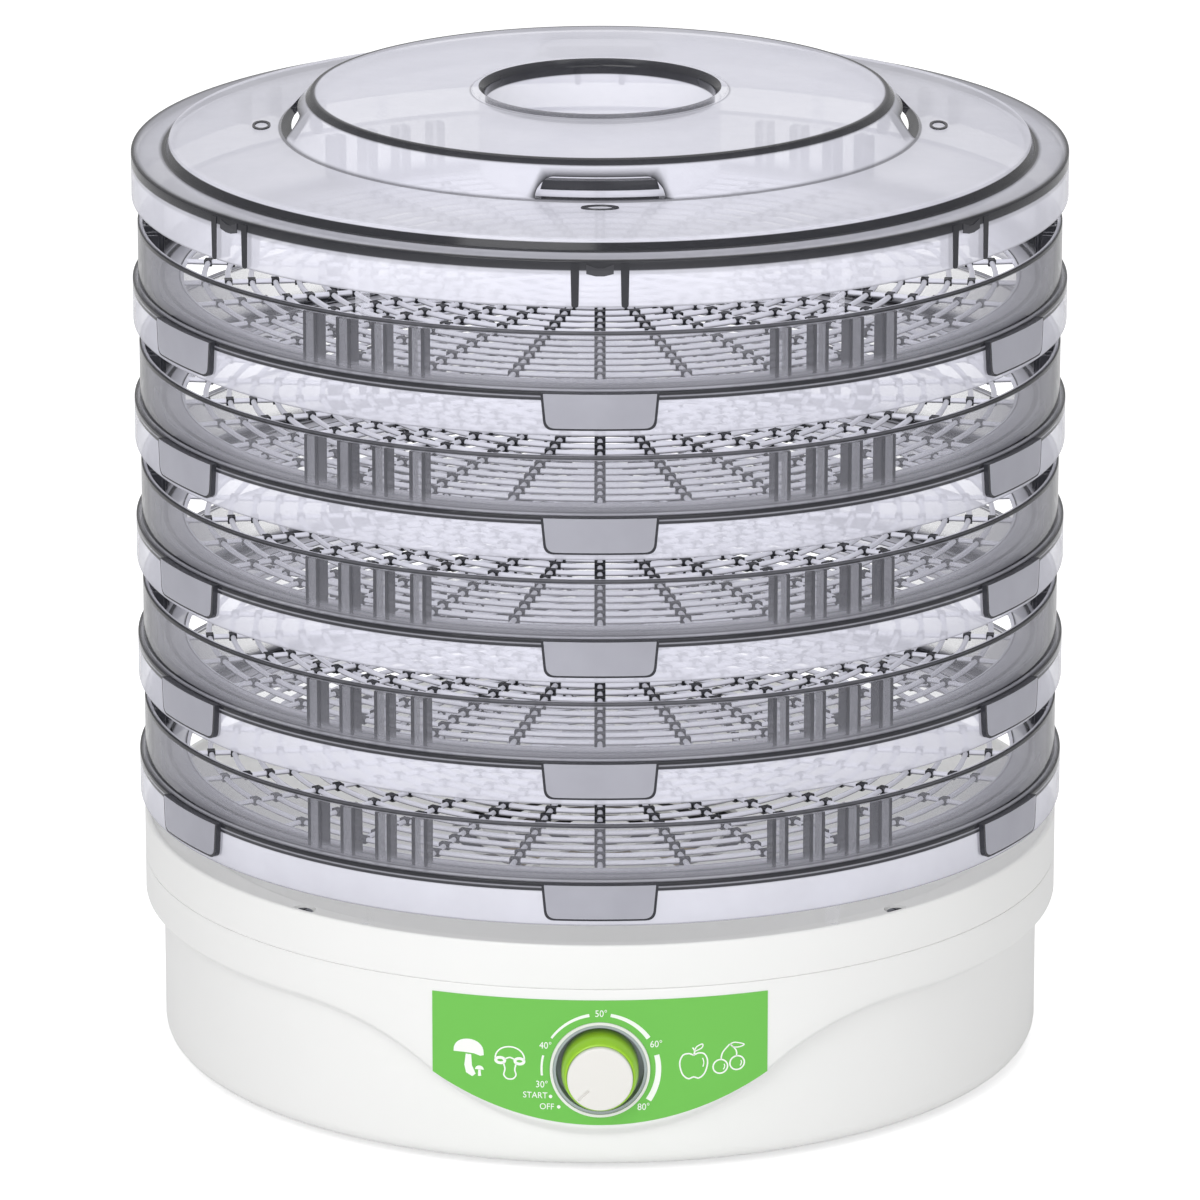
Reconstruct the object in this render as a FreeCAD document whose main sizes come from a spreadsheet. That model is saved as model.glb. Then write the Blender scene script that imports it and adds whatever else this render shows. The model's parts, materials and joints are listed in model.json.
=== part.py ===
import FreeCAD, Part
import math
import os

import Sketcher

# Round five-tray food dehydrator. Millimetres, +Z up, front towards -Y.
# The origin is on the surface that the feet stand on, under the centre line of the stack.

# Every size that can be set by itself, written once.
SIZES = {
    # Overall stack
    "skirt_radius": 165.0,        # outside of the tray and lid skirts, the widest circle
    "rest_gap": 0.1,              # play left where one ring rests on the next
    # Housing
    "foot_height": 3.0,
    "collar_inset": 1.5,          # collar and front panel, inside the skirt radius
    "lower_inset": 8.0,           # lower wall, inside the skirt radius
    "shell_wall": 2.5,
    "bottom_round": 6.0,
    "step_bottom": 48.0,          # lower end of the step between lower wall and collar
    "step_rise": 6.0,
    "parting_height": 67.4,       # joint between housing and deck
    "band_height": 15.9,          # deck band, from the joint to its rim
    "rim_width": 2.2,
    "rim_round": 0.55,
    "ledge_depth": 3.3,           # ledge below the rim
    "ledge_width": 13.0,
    # Front panel that sweeps down below the collar
    "bib_margin": 5.9,            # panel below the middle of the label
    "bib_top": 48.6,
    "bib_half_width": 104.0,
    "bib_round": 95.0,
    # Printed label and dial
    "label_half_width": 57.7,
    "label_margin": 2.95,         # label below the dial's ring
    "label_sag": 16.0,            # lower corners above the middle of the lower edge
    "label_top": 63.6,
    "label_thickness": 0.8,
    "label_recess": 0.5,
    "label_gap": 0.15,
    "dial_height": 38.5,
    "cup_radius": 16.2,
    "cup_wall": 1.0,
    "cup_depth": 7.0,
    "cup_floor": 1.5,
    "ring_width": 0.95,
    "ring_stand": 1.2,
    "fit_gap": 0.1,               # one fixed piece in the hole of another
    # Knob and thermostat
    "knob_radius": 13.3,
    "knob_front_radius": 12.0,
    "knob_lift": 0.6,             # knob above the floor of its cup
    "knob_shoulder": 5.0,
    "knob_front": 8.8,
    "cap_radius": 11.3,
    "cap_face": 10.8,
    "cap_thickness": 3.0,
    "knob_pocket": 9.5,
    "knob_web": 0.8,
    "shaft_radius": 3.0,
    "running_gap": 0.05,          # turning shaft in its bore, on the radius
    "shaft_reach": 4.0,
    "thermostat_radius": 15.0,
    "thermostat_depth": 16.0,
    "bushing_radius": 5.0,
    "bushing_reach": 5.5,
    "nut_radius": 7.5,
    "nut_thickness": 2.2,
    # Deck bowl, outlet grille and duct
    "bowl_inset": 4.0,
    "bowl_depth": 3.0,
    "bowl_flat_radius": 92.0,
    "bowl_drop": 9.5,
    "duct_radius": 58.0,
    "duct_wall": 2.0,
    "duct_length": 31.0,
    "duct_flange": 8.0,
    "duct_screw_step": 4.0,       # screws, outside the duct's wall
    "grille_radius": 66.0,
    "grille_thickness": 2.0,
    "grille_hub": 12.0,
    "grille_bar": 2.4,
    # Screws
    "deck_screw_inset": 11.0,
    "screw_head_radius": 3.6,
    "screw_head": 1.5,
    "screw_radius": 1.6,
    "screw_depth": 14.0,
    "boss_radius": 4.5,
    "boss_length": 40.0,
    "recess_radius": 4.4,
    "small_head_radius": 2.6,
    "small_head": 1.6,
    "small_screw_radius": 1.2,
    # Feet
    "foot_radius": 9.0,
    "foot_inset": 27.0,
    "foot_stem_radius": 3.0,
    "foot_barb": 0.8,
    "foot_barb_height": 1.5,
    "foot_chamfer": 1.0,
    # Air intake in the floor
    "intake_start": 34.0,
    "intake_length": 24.0,
    "intake_width": 6.0,
    # Motor
    "mount_height": 6.5,
    "mount_radius": 44.0,
    "bracket_thickness": 1.5,
    "bracket_hub": 20.0,
    "bracket_arm": 12.0,
    "pad_size": 8.0,
    "pad_height": 4.0,
    "core_back": 28.0,
    "core_front": 34.0,
    "core_half_depth": 23.0,
    "core_height": 16.0,
    "core_bore": 12.5,
    "air_gap": 0.4,
    "leg_width": 10.0,
    "coil_build": 3.5,
    "coil_half_depth": 12.0,
    "coil_play": 0.1,
    "bolt_offset": 18.0,
    "bridge_width": 12.0,
    "bridge_lift": 2.0,
    "bearing_radius": 5.0,
    "bearing_height": 5.0,
    "bearing_stand": 1.0,         # bearing below its plate
    "motor_shaft_stand": 2.0,     # shaft below the lower plate
    "motor_shaft_radius": 2.5,
    "motor_shaft_length": 46.0,
    "rotor_end_play": 1.0,
    # Fan
    "fan_tip_gap": 2.5,           # blade tips to duct
    "fan_hub_radius": 16.0,
    "fan_hub_height": 10.0,
    "fan_lift": 5.5,              # hub above the motor bridge
    "blade_chord": 14.0,
    "blade_thickness": 1.6,
    "clip_radius": 5.0,
    "clip_height": 2.0,
    # Heater
    "board_thickness": 1.2,
    "board_height": 10.0,
    "heater_drop": 3.5,           # top of the boards below the deck's underside
    "coil_circle": 40.0,
    "coil_turn_radius": 3.0,
    "fuse_radius": 2.5,
    "fuse_length": 12.0,
    "fuse_start": 12.0,
    # Mains entry
    "gland_height": 19.0,
    "gland_bore": 3.6,
    "gland_neck": 7.9,
    "gland_flange": 11.0,
    "gland_flange_thickness": 3.0,
    "gland_reach": 14.0,
    "gland_tip": 6.0,
    "gland_nut": 2.6,
    "gland_thread": 2.0,          # neck beyond the nut
    "terminal_inset": 42.0,
    "terminal_width": 30.0,
    "terminal_depth": 14.0,
    "terminal_height": 12.0,
    # Trays
    "tray_wall": 1.8,
    "tray_step": 2.0,             # upper wall, inside the skirt radius
    "tray_rise": 20.5,            # rim above the floor
    "skirt_depth": 15.2,
    "support_drop": 22.8,         # floor above the rim that the tray rests on
    "tray_floor": 2.0,
    "tray_margin": 17.0,          # plain border of the floor, from the skirt radius
    "leg_drop": 2.5,              # part of a support inside the rim below
    "leg_play": 0.3,
    "leg_depth": 3.4,
    "support_thickness": 2.4,
    "tab_stand": 2.0,
    "tab_height": 12.8,
    "tab_angle": 13.8,
    "post_width": 4.5,
    "post_depth": 6.5,
    "post_short": 2.0,            # top of the posts below the rim
    "grid_hub": 16.0,
    "grid_bar": 2.0,
    # Lid
    "lid_wall": 2.0,
    "lid_round": 1.6,
    "lid_skirt_depth": 16.3,
    "lid_support_drop": 25.1,
    "lid_ring_width": 12.0,
    "lid_step_run": 1.6,
    "lid_step_rise": 3.8,
    "cone_inset": 52.4,
    "cone_foot_rise": 6.9,
    "cone_run": 10.9,
    "plateau_rise": 19.4,
    "chimney_radius": 42.4,
    "chimney_lip": 2.5,
    "chimney_lip_rise": 1.6,
    "chimney_length": 30.0,
    "vent_half_width": 21.5,
    "vent_height": 6.5,
    "vent_lift": 0.7,
    "vent_reach": 10.0,           # slot inside the head of the cone
    "rib_thickness": 3.0,
    "rib_depth": 6.2,
    "rib_offset": 8.4,
}

TRAY_COUNT = 5
TAB_COUNT = 6
SPOKES = 30
GRID_ROWS = 8
FULL_ROW_RADIUS = 38
VENT_COUNT = 4
BLADE_COUNT = 7
BLADE_PITCH = 32
INTAKE_COUNT = 12
GRILLE_SPOKES = 12
GRILLE_RINGS = 4
POST_ANGLES = (-7.5, -2.5, 2.5, 7.5)
RIB_ANGLES = (0, 50, 130, 180, 230, 310)
DECK_SCREW_ANGLES = (48, 132, 228, 312)
FOOT_ANGLES = (45, 135, 225, 315)
MOUNT_ANGLES = (15, 135, 255)
DUCT_SCREW_ANGLES = (30, 150, 270)
OVER = 1.0                       # how far a cutting or joining shape runs past a face

doc = FreeCAD.newDocument("food_dehydrator")
sheet = doc.addObject("Spreadsheet::Sheet", "Sizes")


class Size:
    """A length: the spreadsheet expression that gives it, and its present value."""

    def __init__(self, text, value):
        self.text = text
        self.value = value

    def __add__(self, other):
        other = as_size(other)
        return Size(f"({self.text} + {other.text})", self.value + other.value)

    def __sub__(self, other):
        other = as_size(other)
        return Size(f"({self.text} - {other.text})", self.value - other.value)

    def __mul__(self, other):
        other = as_size(other)
        return Size(f"({self.text} * {other.text})", self.value * other.value)

    def __rmul__(self, other):
        return self * other

    def __truediv__(self, other):
        other = as_size(other)
        return Size(f"({self.text} / {other.text})", self.value / other.value)

    def __neg__(self):
        return Size(f"(0 - {self.text})", -self.value)


def as_size(number):
    return number if isinstance(number, Size) else Size(repr(float(number)), float(number))


class Named:
    """The sizes of the sheet, one attribute each."""


ZERO = as_size(0)
S = Named()
for row, (alias, number) in enumerate(SIZES.items(), start=1):
    sheet.set(f"A{row}", alias)
    sheet.set(f"B{row}", str(number))
    sheet.setAlias(f"B{row}", alias)
    setattr(S, alias, Size(f"Sizes.{alias}", number))
doc.recompute()


def bind(item, prop, size):
    """Tie one property of an object to the sheet."""
    item.setExpression(prop, as_size(size).text)


def place(item, x=0, y=0, z=0, axis=(0, 0, 1), angle=0):
    """Turn an object, then tie its position to the sheet."""
    spot = [as_size(x), as_size(y), as_size(z)]
    turn = FreeCAD.Rotation(FreeCAD.Vector(*axis), angle)
    item.Placement = FreeCAD.Placement(FreeCAD.Vector(*[s.value for s in spot]), turn)
    for letter, size in zip("xyz", spot):
        if size.text != ZERO.text:
            item.setExpression(f"Placement.Base.{letter}", size.text)
    return item


def around(radius, angle, offset=0):
    """X and Y of a point at a radius and angle, moved sideways by offset."""
    offset = as_size(offset)
    along = (math.cos(math.radians(angle)), math.sin(math.radians(angle)))
    x = as_size(radius) * along[0] - offset * along[1]
    y = as_size(radius) * along[1] + offset * along[0]
    return x, y


def box(label, length, width, height, **where):
    item = doc.addObject("Part::Box", label)
    bind(item, "Length", length)
    bind(item, "Width", width)
    bind(item, "Height", height)
    return place(item, **where)


def cylinder(label, radius, height, **where):
    item = doc.addObject("Part::Cylinder", label)
    bind(item, "Radius", radius)
    bind(item, "Height", height)
    return place(item, **where)


def fuse(label, items):
    item = doc.addObject("Part::MultiFuse", label)
    item.Shapes = items
    return item


def group(label, items):
    """Separate solids that share one node."""
    item = doc.addObject("Part::Compound", label)
    item.Links = items
    return item


def cut(label, base, tool):
    item = doc.addObject("Part::Cut", label)
    item.Base = base
    item.Tool = tool
    return item


def common(label, base, tool):
    item = doc.addObject("Part::Common", label)
    item.Base = base
    item.Tool = tool
    return item


def plane_of(body, role):
    for feature in body.Origin.OriginFeatures:
        if feature.Role == role:
            return feature


def sketch_in(body, name, role, lift=ZERO):
    sketch = body.newObject("Sketcher::SketchObject", name)
    sketch.AttachmentSupport = [(plane_of(body, role), "")]
    sketch.MapMode = "FlatFace"
    if lift.text != ZERO.text:
        bind(sketch, "AttachmentOffset.Base.z", lift)
    return sketch


def fix_point(sketch, line, end, x, y):
    """Tie one end of a sketch line to the sheet."""
    for size, across, kind in ((x, -2, "DistanceX"), (y, -1, "DistanceY")):
        size = as_size(size)
        if abs(size.value) < 1e-9:
            sketch.addConstraint(Sketcher.Constraint("PointOnObject", line, end, across))
            continue
        ends = (-1, 1, line, end) if size.value > 0 else (line, end, -1, 1)
        number = sketch.addConstraint(Sketcher.Constraint(kind, *ends, abs(size.value)))
        text = size.text if size.value > 0 else f"0 - {size.text}"
        sketch.setExpression(f"Constraints[{number}]", text)


def outline(sketch, points):
    """A closed outline of straight lines through points that the sheet gives."""
    first = sketch.GeometryCount
    spots = [FreeCAD.Vector(as_size(x).value, as_size(y).value, 0) for x, y in points]
    for start, end in zip(spots, spots[1:] + spots[:1]):
        sketch.addGeometry(Part.LineSegment(start, end), False)
    for step, (x, y) in enumerate(points):
        line = first + step
        after = first + (step + 1) % len(points)
        sketch.addConstraint(Sketcher.Constraint("Coincident", line, 2, after, 1))
        fix_point(sketch, line, 1, x, y)


def new_body(label):
    return doc.addObject("PartDesign::Body", label)


def revolve(body, name, points, role="XZ_Plane", angle=360):
    """Turn an outline of (radius, height) points about the body's Z axis."""
    sketch = sketch_in(body, f"{name}_outline", role)
    outline(sketch, points)
    feature = body.newObject("PartDesign::Revolution", name)
    feature.Profile = sketch
    feature.ReferenceAxis = (sketch, ["V_Axis"])
    feature.Midplane = angle != 360
    if isinstance(angle, Size):
        bind(feature, "Angle", angle)
    else:
        feature.Angle = angle
    return feature


def turned(label, points, **where):
    """A body that is one turned solid."""
    body = new_body(label)
    revolve(body, f"{label}_turned", points)
    return place(body, **where)


def pad(body, name, outlines, length, role="XY_Plane", lift=ZERO, midplane=False):
    sketch = sketch_in(body, f"{name}_outline", role, lift)
    for points in outlines:
        outline(sketch, points)
    feature = body.newObject("PartDesign::Pad", name)
    feature.Profile = sketch
    feature.Midplane = midplane
    bind(feature, "Length", length)
    return feature


def repeat(body, name, feature, count):
    """Copy a feature evenly about the body's Z axis."""
    pattern = body.newObject("PartDesign::PolarPattern", name)
    pattern.Originals = [feature]
    pattern.Axis = (feature.Profile[0], ["V_Axis"])
    pattern.Angle = 360
    pattern.Occurrences = count
    body.Tip = pattern
    return pattern


def about_z(pattern, body):
    """Use the body's own Z axis for a pattern whose sketch lies flat."""
    for feature in body.Origin.OriginFeatures:
        if feature.Role == "Z_Axis":
            pattern.Axis = (feature, [""])


def round_edges(body, name, feature, radius, circles):
    """Fillet the circular edges of a turned feature, each found by radius and height."""
    doc.recompute()
    names = []
    for number, edge in enumerate(feature.Shape.Edges, start=1):
        curve = edge.Curve
        if not isinstance(curve, Part.Circle):
            continue
        for wanted_radius, wanted_height in circles:
            same_radius = abs(curve.Radius - as_size(wanted_radius).value) < 1e-4
            same_height = abs(curve.Center.z - as_size(wanted_height).value) < 1e-4
            if same_radius and same_height:
                names.append(f"Edge{number}")
    fillet = body.newObject("PartDesign::Fillet", name)
    fillet.Base = (feature, names)
    bind(fillet, "Radius", radius)
    return fillet


# Radii and heights that several pieces share
collar_radius = S.skirt_radius - S.collar_inset
lower_radius = S.skirt_radius - S.lower_inset
shell_bottom = S.foot_height
floor_top = shell_bottom + S.shell_wall
parting = S.foot_height + S.parting_height
deck_rim = parting + S.band_height
ledge = deck_rim - S.ledge_depth
bowl_floor = ledge - S.bowl_drop
deck_under = bowl_floor - S.shell_wall
step_low = shell_bottom + S.step_bottom
step_high = step_low + S.step_rise
dial_height = shell_bottom + S.dial_height
ring_outside = S.cup_radius + S.fit_gap + S.ring_width
label_low = dial_height - ring_outside - S.label_margin
bib_bottom = label_low - S.bib_margin
fan_radius = S.duct_radius - S.fan_tip_gap
rim_outside = collar_radius
rim_inside = rim_outside - S.rim_width
upper_radius = S.skirt_radius - S.tray_step
upper_inside = upper_radius - S.tray_wall
ring_pitch = S.rest_gap + S.support_drop + S.tray_rise


def support_points(drop, depth, wall):
    """Outline of the fin that carries a tray or the lid, from its own lower tip up."""
    shoulder = S.leg_drop + drop
    leg_outside = upper_inside - S.leg_play
    leg_inside = leg_outside - S.leg_depth
    skirt_bottom = shoulder - depth
    join = S.skirt_radius - wall / 2
    return [
        (leg_inside, ZERO),
        (leg_outside, ZERO),
        (leg_outside, S.leg_drop),
        (upper_radius, S.leg_drop),
        (upper_radius, skirt_bottom + OVER),
        (join, skirt_bottom + OVER),
        (join, shoulder - wall / 2),
        (leg_inside, shoulder - wall / 2),
    ]


def add_supports(body, drop, depth, wall):
    fin = pad(body, "support", [support_points(drop, depth, wall)], S.support_thickness,
              role="XZ_Plane", midplane=True)
    return repeat(body, "supports", fin, TAB_COUNT)


# ---------------------------------------------------------------- housing

def bib_prism(label, inset, top):
    """Outline of the front panel: an S-shaped sweep of two arcs a side, extruded forwards."""
    rise = shell_bottom + S.bib_top - bib_bottom
    reach = (S.bib_half_width * S.bib_half_width + rise * rise) / (rise * 2)
    low_round = S.bib_round - inset
    high_round = reach - S.bib_round + inset
    low_centre = bib_bottom + S.bib_round
    high_centre = shell_bottom + S.bib_top - reach + S.bib_round
    slope = math.asin(S.bib_half_width.value / reach.value)
    down = -math.pi / 2
    normal = FreeCAD.Vector(0, 0, 1)
    sketch = doc.addObject("Sketcher::SketchObject", f"{label}_outline")
    sketch.Placement = FreeCAD.Placement(
        FreeCAD.Vector(0, 0, 0), FreeCAD.Rotation(FreeCAD.Vector(1, 0, 0), 90))
    low = Part.Circle(FreeCAD.Vector(0, low_centre.value, 0), normal, low_round.value)
    sketch.addGeometry(Part.ArcOfCircle(low, down - slope, down + slope), False)
    for side in (1, -1):
        centre = FreeCAD.Vector(side * S.bib_half_width.value, high_centre.value, 0)
        high = Part.Circle(centre, normal, high_round.value)
        ends = sorted((math.pi / 2, math.pi / 2 + side * slope))
        sketch.addGeometry(Part.ArcOfCircle(high, *ends), False)
    half = S.bib_half_width.value
    shoulder = (high_centre + high_round).value
    corners = [(half, shoulder), (half, top.value), (-half, top.value), (-half, shoulder)]
    for (x0, z0), (x1, z1) in zip(corners, corners[1:]):
        start = FreeCAD.Vector(x0, z0, 0)
        sketch.addGeometry(Part.LineSegment(start, FreeCAD.Vector(x1, z1, 0)), False)
    joints = [(0, 2, 1, 2), (0, 1, 2, 1), (1, 1, 3, 1), (3, 2, 4, 1), (4, 2, 5, 1), (5, 2, 2, 2)]
    for number, joint in enumerate(joints):
        kind = "Tangent" if number < 2 else "Coincident"
        sketch.addConstraint(Sketcher.Constraint(kind, *joint))
    for arc, size in ((0, low_round), (1, high_round), (2, high_round)):
        number = sketch.addConstraint(Sketcher.Constraint("Radius", arc, size.value))
        sketch.setExpression(f"Constraints[{number}]", size.text)
    fix_point(sketch, 0, 3, ZERO, low_centre)
    for line, end, x in ((3, 1, S.bib_half_width), (5, 2, -S.bib_half_width)):
        ends = (-1, 1, line, end) if x.value > 0 else (line, end, -1, 1)
        number = sketch.addConstraint(Sketcher.Constraint("DistanceX", *ends, abs(x.value)))
        sketch.setExpression(f"Constraints[{number}]", S.bib_half_width.text)
    for arc, end in ((1, 1), (2, 2)):
        sketch.addConstraint(Sketcher.Constraint("Vertical", arc, end, arc, 3))
    fix_point(sketch, 4, 1, S.bib_half_width, top)
    sketch.addConstraint(Sketcher.Constraint("Vertical", 5))
    sketch.addConstraint(Sketcher.Constraint("Horizontal", 4))
    prism = doc.addObject("Part::Extrusion", label)
    prism.Base = sketch
    prism.Dir = FreeCAD.Vector(0, -1, 0)
    prism.Solid = True
    bind(prism, "LengthFwd", S.skirt_radius)
    return prism


def label_prism(label, gap):
    """Outline of the printed label, straight at the sides and curved below."""
    gap = as_size(gap)
    half = S.label_half_width + gap
    sag = S.label_sag
    radius = (S.label_half_width * S.label_half_width + sag * sag) / (sag * 2) + gap
    centre = label_low + radius - gap
    corner = math.asin(half.value / radius.value)
    corner_height = centre.value - radius.value * math.cos(corner)
    top = shell_bottom + S.label_top + gap
    sketch = doc.addObject("Sketcher::SketchObject", f"{label}_outline")
    sketch.Placement = FreeCAD.Placement(
        FreeCAD.Vector(0, 0, 0), FreeCAD.Rotation(FreeCAD.Vector(1, 0, 0), 90))
    circle = Part.Circle(FreeCAD.Vector(0, centre.value, 0), FreeCAD.Vector(0, 0, 1), radius.value)
    down = -math.pi / 2
    sketch.addGeometry(Part.ArcOfCircle(circle, down - corner, down + corner), False)
    corners = [(half.value, corner_height), (half.value, top.value),
               (-half.value, top.value), (-half.value, corner_height)]
    for (x0, z0), (x1, z1) in zip(corners, corners[1:]):
        start = FreeCAD.Vector(x0, z0, 0)
        sketch.addGeometry(Part.LineSegment(start, FreeCAD.Vector(x1, z1, 0)), False)
    for joint in ((0, 2, 1, 1), (1, 2, 2, 1), (2, 2, 3, 1), (3, 2, 0, 1)):
        sketch.addConstraint(Sketcher.Constraint("Coincident", *joint))
    number = sketch.addConstraint(Sketcher.Constraint("Radius", 0, radius.value))
    sketch.setExpression(f"Constraints[{number}]", radius.text)
    fix_point(sketch, 0, 3, ZERO, centre)
    fix_point(sketch, 2, 1, half, top)
    fix_point(sketch, 3, 1, -half, top)
    sketch.addConstraint(Sketcher.Constraint("Vertical", 1))
    sketch.addConstraint(Sketcher.Constraint("Vertical", 3))
    prism = doc.addObject("Part::Extrusion", label)
    prism.Base = sketch
    prism.Dir = FreeCAD.Vector(0, -1, 0)
    prism.Solid = True
    bind(prism, "LengthFwd", S.skirt_radius + OVER)
    return prism


def outward(label, radius, start, length):
    """A cylinder on the dial's axis, its start and length counted outwards from the panel."""
    return cylinder(label, radius, length, y=-collar_radius - start, z=dial_height,
                    axis=(1, 0, 0), angle=90)


def on_dial(label, points):
    """A solid turned about the dial's axis, heights counted outwards from the panel."""
    return turned(label, points, y=-collar_radius, z=dial_height, axis=(1, 0, 0), angle=90)


def make_housing():
    wall = S.shell_wall
    outside = new_body("housing_outside")
    turned_outside = revolve(outside, "outer_form", [
        (ZERO, shell_bottom), (lower_radius, shell_bottom), (lower_radius, step_low),
        (collar_radius, step_high), (collar_radius, parting), (ZERO, parting)])
    round_edges(outside, "bottom_rounding", turned_outside, S.bottom_round,
                [(lower_radius, shell_bottom)])
    inside = new_body("housing_inside")
    turned_inside = revolve(inside, "inner_form", [
        (ZERO, floor_top), (lower_radius - wall, floor_top),
        (lower_radius - wall, step_low + wall / 2), (collar_radius - wall, step_high + wall / 2),
        (collar_radius - wall, parting + OVER), (ZERO, parting + OVER)])
    round_edges(inside, "inner_rounding", turned_inside, S.bottom_round - wall,
                [(lower_radius - wall, floor_top)])
    bib_drum = cylinder("bib_drum", collar_radius, parting - shell_bottom, z=shell_bottom)
    bib_hollow_drum = cylinder("bib_hollow_drum", collar_radius - wall, parting, z=shell_bottom)
    bib = common("bib", bib_drum, bib_prism("bib_form", ZERO, parting))
    bib_hollow = common("bib_hollow", bib_hollow_drum,
                        bib_prism("bib_hollow_form", wall, parting + OVER))
    solid = fuse("housing_solid", [outside, bib])
    hollow = fuse("housing_hollow", [inside, bib_hollow])
    shell = cut("housing_shell", solid, hollow)

    bosses = []
    for number, angle in enumerate(DECK_SCREW_ANGLES):
        x, y = around(S.skirt_radius - S.deck_screw_inset, angle)
        top = ledge - wall
        bosses.append(cylinder(f"deck_boss_{number}", S.boss_radius, S.boss_length,
                               x=x, y=y, z=top - S.boss_length))
    tall_drum = cylinder("boss_limit", collar_radius - wall / 2, deck_rim, z=parting)
    limit = fuse("boss_space", [solid, tall_drum])
    deck_bosses = common("deck_bosses", fuse("deck_boss_posts", bosses), limit)
    mounts = []
    for number, angle in enumerate(MOUNT_ANGLES):
        x, y = around(S.mount_radius, angle)
        mounts.append(cylinder(f"motor_boss_{number}", S.boss_radius, S.mount_height + OVER,
                               x=x, y=y, z=floor_top - OVER))
    full = fuse("housing_full", [shell, deck_bosses] + mounts)

    tools = []
    for number, angle in enumerate(DECK_SCREW_ANGLES):
        x, y = around(S.skirt_radius - S.deck_screw_inset, angle)
        tools.append(cylinder(f"deck_screw_hole_{number}", S.screw_radius, S.screw_depth,
                              x=x, y=y, z=ledge - wall - S.screw_depth))
    for number, angle in enumerate(MOUNT_ANGLES):
        x, y = around(S.mount_radius, angle)
        tools.append(cylinder(f"mount_screw_hole_{number}", S.small_screw_radius, S.mount_height,
                              x=x, y=y, z=floor_top))
    for number in range(INTAKE_COUNT):
        angle = number * 360 / INTAKE_COUNT
        x, y = around(S.intake_start, angle, -S.intake_width / 2)
        tools.append(box(f"intake_{number}", S.intake_length, S.intake_width,
                         S.shell_wall + 2 * OVER, x=x, y=y, z=shell_bottom - OVER, angle=angle))
    for number, angle in enumerate(FOOT_ANGLES):
        x, y = around(lower_radius - S.foot_inset, angle)
        tools.append(cylinder(f"foot_hole_{number}", S.foot_stem_radius + S.running_gap,
                              S.shell_wall + 2 * OVER, x=x, y=y, z=shell_bottom - OVER))
    tools.append(cylinder("gland_hole", S.gland_neck + S.fit_gap, wall + 4 * OVER,
                          y=lower_radius - wall - 2 * OVER, z=shell_bottom + S.gland_height,
                          axis=(1, 0, 0), angle=-90))
    tools.append(outward("cup_hole", S.cup_radius + S.fit_gap, -S.cup_depth, S.cup_depth + OVER))
    recess_ring = turned("label_recess_ring", [
        (collar_radius - S.label_recess, shell_bottom), (S.skirt_radius, shell_bottom),
        (S.skirt_radius, parting), (collar_radius - S.label_recess, parting)])
    tools.append(common("label_recess_tool", recess_ring,
                        label_prism("label_recess_form", S.label_gap)))
    return cut("base_housing", full, fuse("housing_cuts", tools))


def make_deck():
    wall = S.shell_wall
    bowl_top = rim_inside - S.ledge_width
    bowl_edge = bowl_top - S.bowl_inset
    body = new_body("deck_form")
    form = revolve(body, "deck_profile", [
        (collar_radius - wall, parting), (collar_radius, parting), (rim_outside, deck_rim),
        (rim_inside, deck_rim), (rim_inside, ledge), (bowl_top, ledge),
        (bowl_edge, ledge - S.bowl_depth), (S.bowl_flat_radius, bowl_floor),
        (S.duct_radius, bowl_floor), (S.duct_radius, deck_under),
        (S.bowl_flat_radius, deck_under), (bowl_edge, ledge - S.bowl_depth - wall),
        (bowl_top, ledge - wall), (collar_radius - wall, ledge - wall)])
    round_edges(body, "rim_rounding", form, S.rim_round,
                [(rim_outside, deck_rim), (rim_inside, deck_rim)])
    tools = []
    for number, angle in enumerate(DECK_SCREW_ANGLES):
        x, y = around(S.skirt_radius - S.deck_screw_inset, angle)
        tools.append(cylinder(f"deck_recess_{number}", S.recess_radius, S.screw_head + OVER,
                              x=x, y=y, z=ledge - S.screw_head))
        tools.append(cylinder(f"deck_hole_{number}", S.screw_radius + S.fit_gap, 2 * wall,
                              x=x, y=y, z=ledge - 2 * wall))
    for number, angle in enumerate(DUCT_SCREW_ANGLES):
        x, y = around(S.duct_radius + S.duct_screw_step + S.duct_wall, angle)
        tools.append(cylinder(f"duct_hole_{number}", S.small_screw_radius, wall - S.fit_gap,
                              x=x, y=y, z=deck_under))
    return cut("deck_cover", body, fuse("deck_cuts", tools))


def window_face(outer, windows):
    """One flat face with many windows, each an arc-sided cell between two bars."""
    wires = [Part.Wire(Part.Circle(FreeCAD.Vector(0, 0, 0), FreeCAD.Vector(0, 0, 1), outer).toShape())]
    for inner_radius, outer_radius, angle, spread, bar in windows:
        corners = []
        for radius, side in ((inner_radius, -1), (outer_radius, -1), (outer_radius, 1), (inner_radius, 1)):
            turn = angle + side * (spread - math.asin(bar / 2 / radius))
            corners.append((radius, turn))
        spots = [FreeCAD.Vector(r * math.cos(a), r * math.sin(a), 0) for r, a in corners]
        far = FreeCAD.Vector(outer_radius * math.cos(angle), outer_radius * math.sin(angle), 0)
        near = FreeCAD.Vector(inner_radius * math.cos(angle), inner_radius * math.sin(angle), 0)
        edges = [
            Part.LineSegment(spots[0], spots[1]).toShape(),
            Part.Arc(spots[1], far, spots[2]).toShape(),
            Part.LineSegment(spots[2], spots[3]).toShape(),
            Part.Arc(spots[3], near, spots[0]).toShape(),
        ]
        wires.append(Part.Wire(edges))
    return Part.Face(wires, "Part::FaceMakerBullseye")


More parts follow.
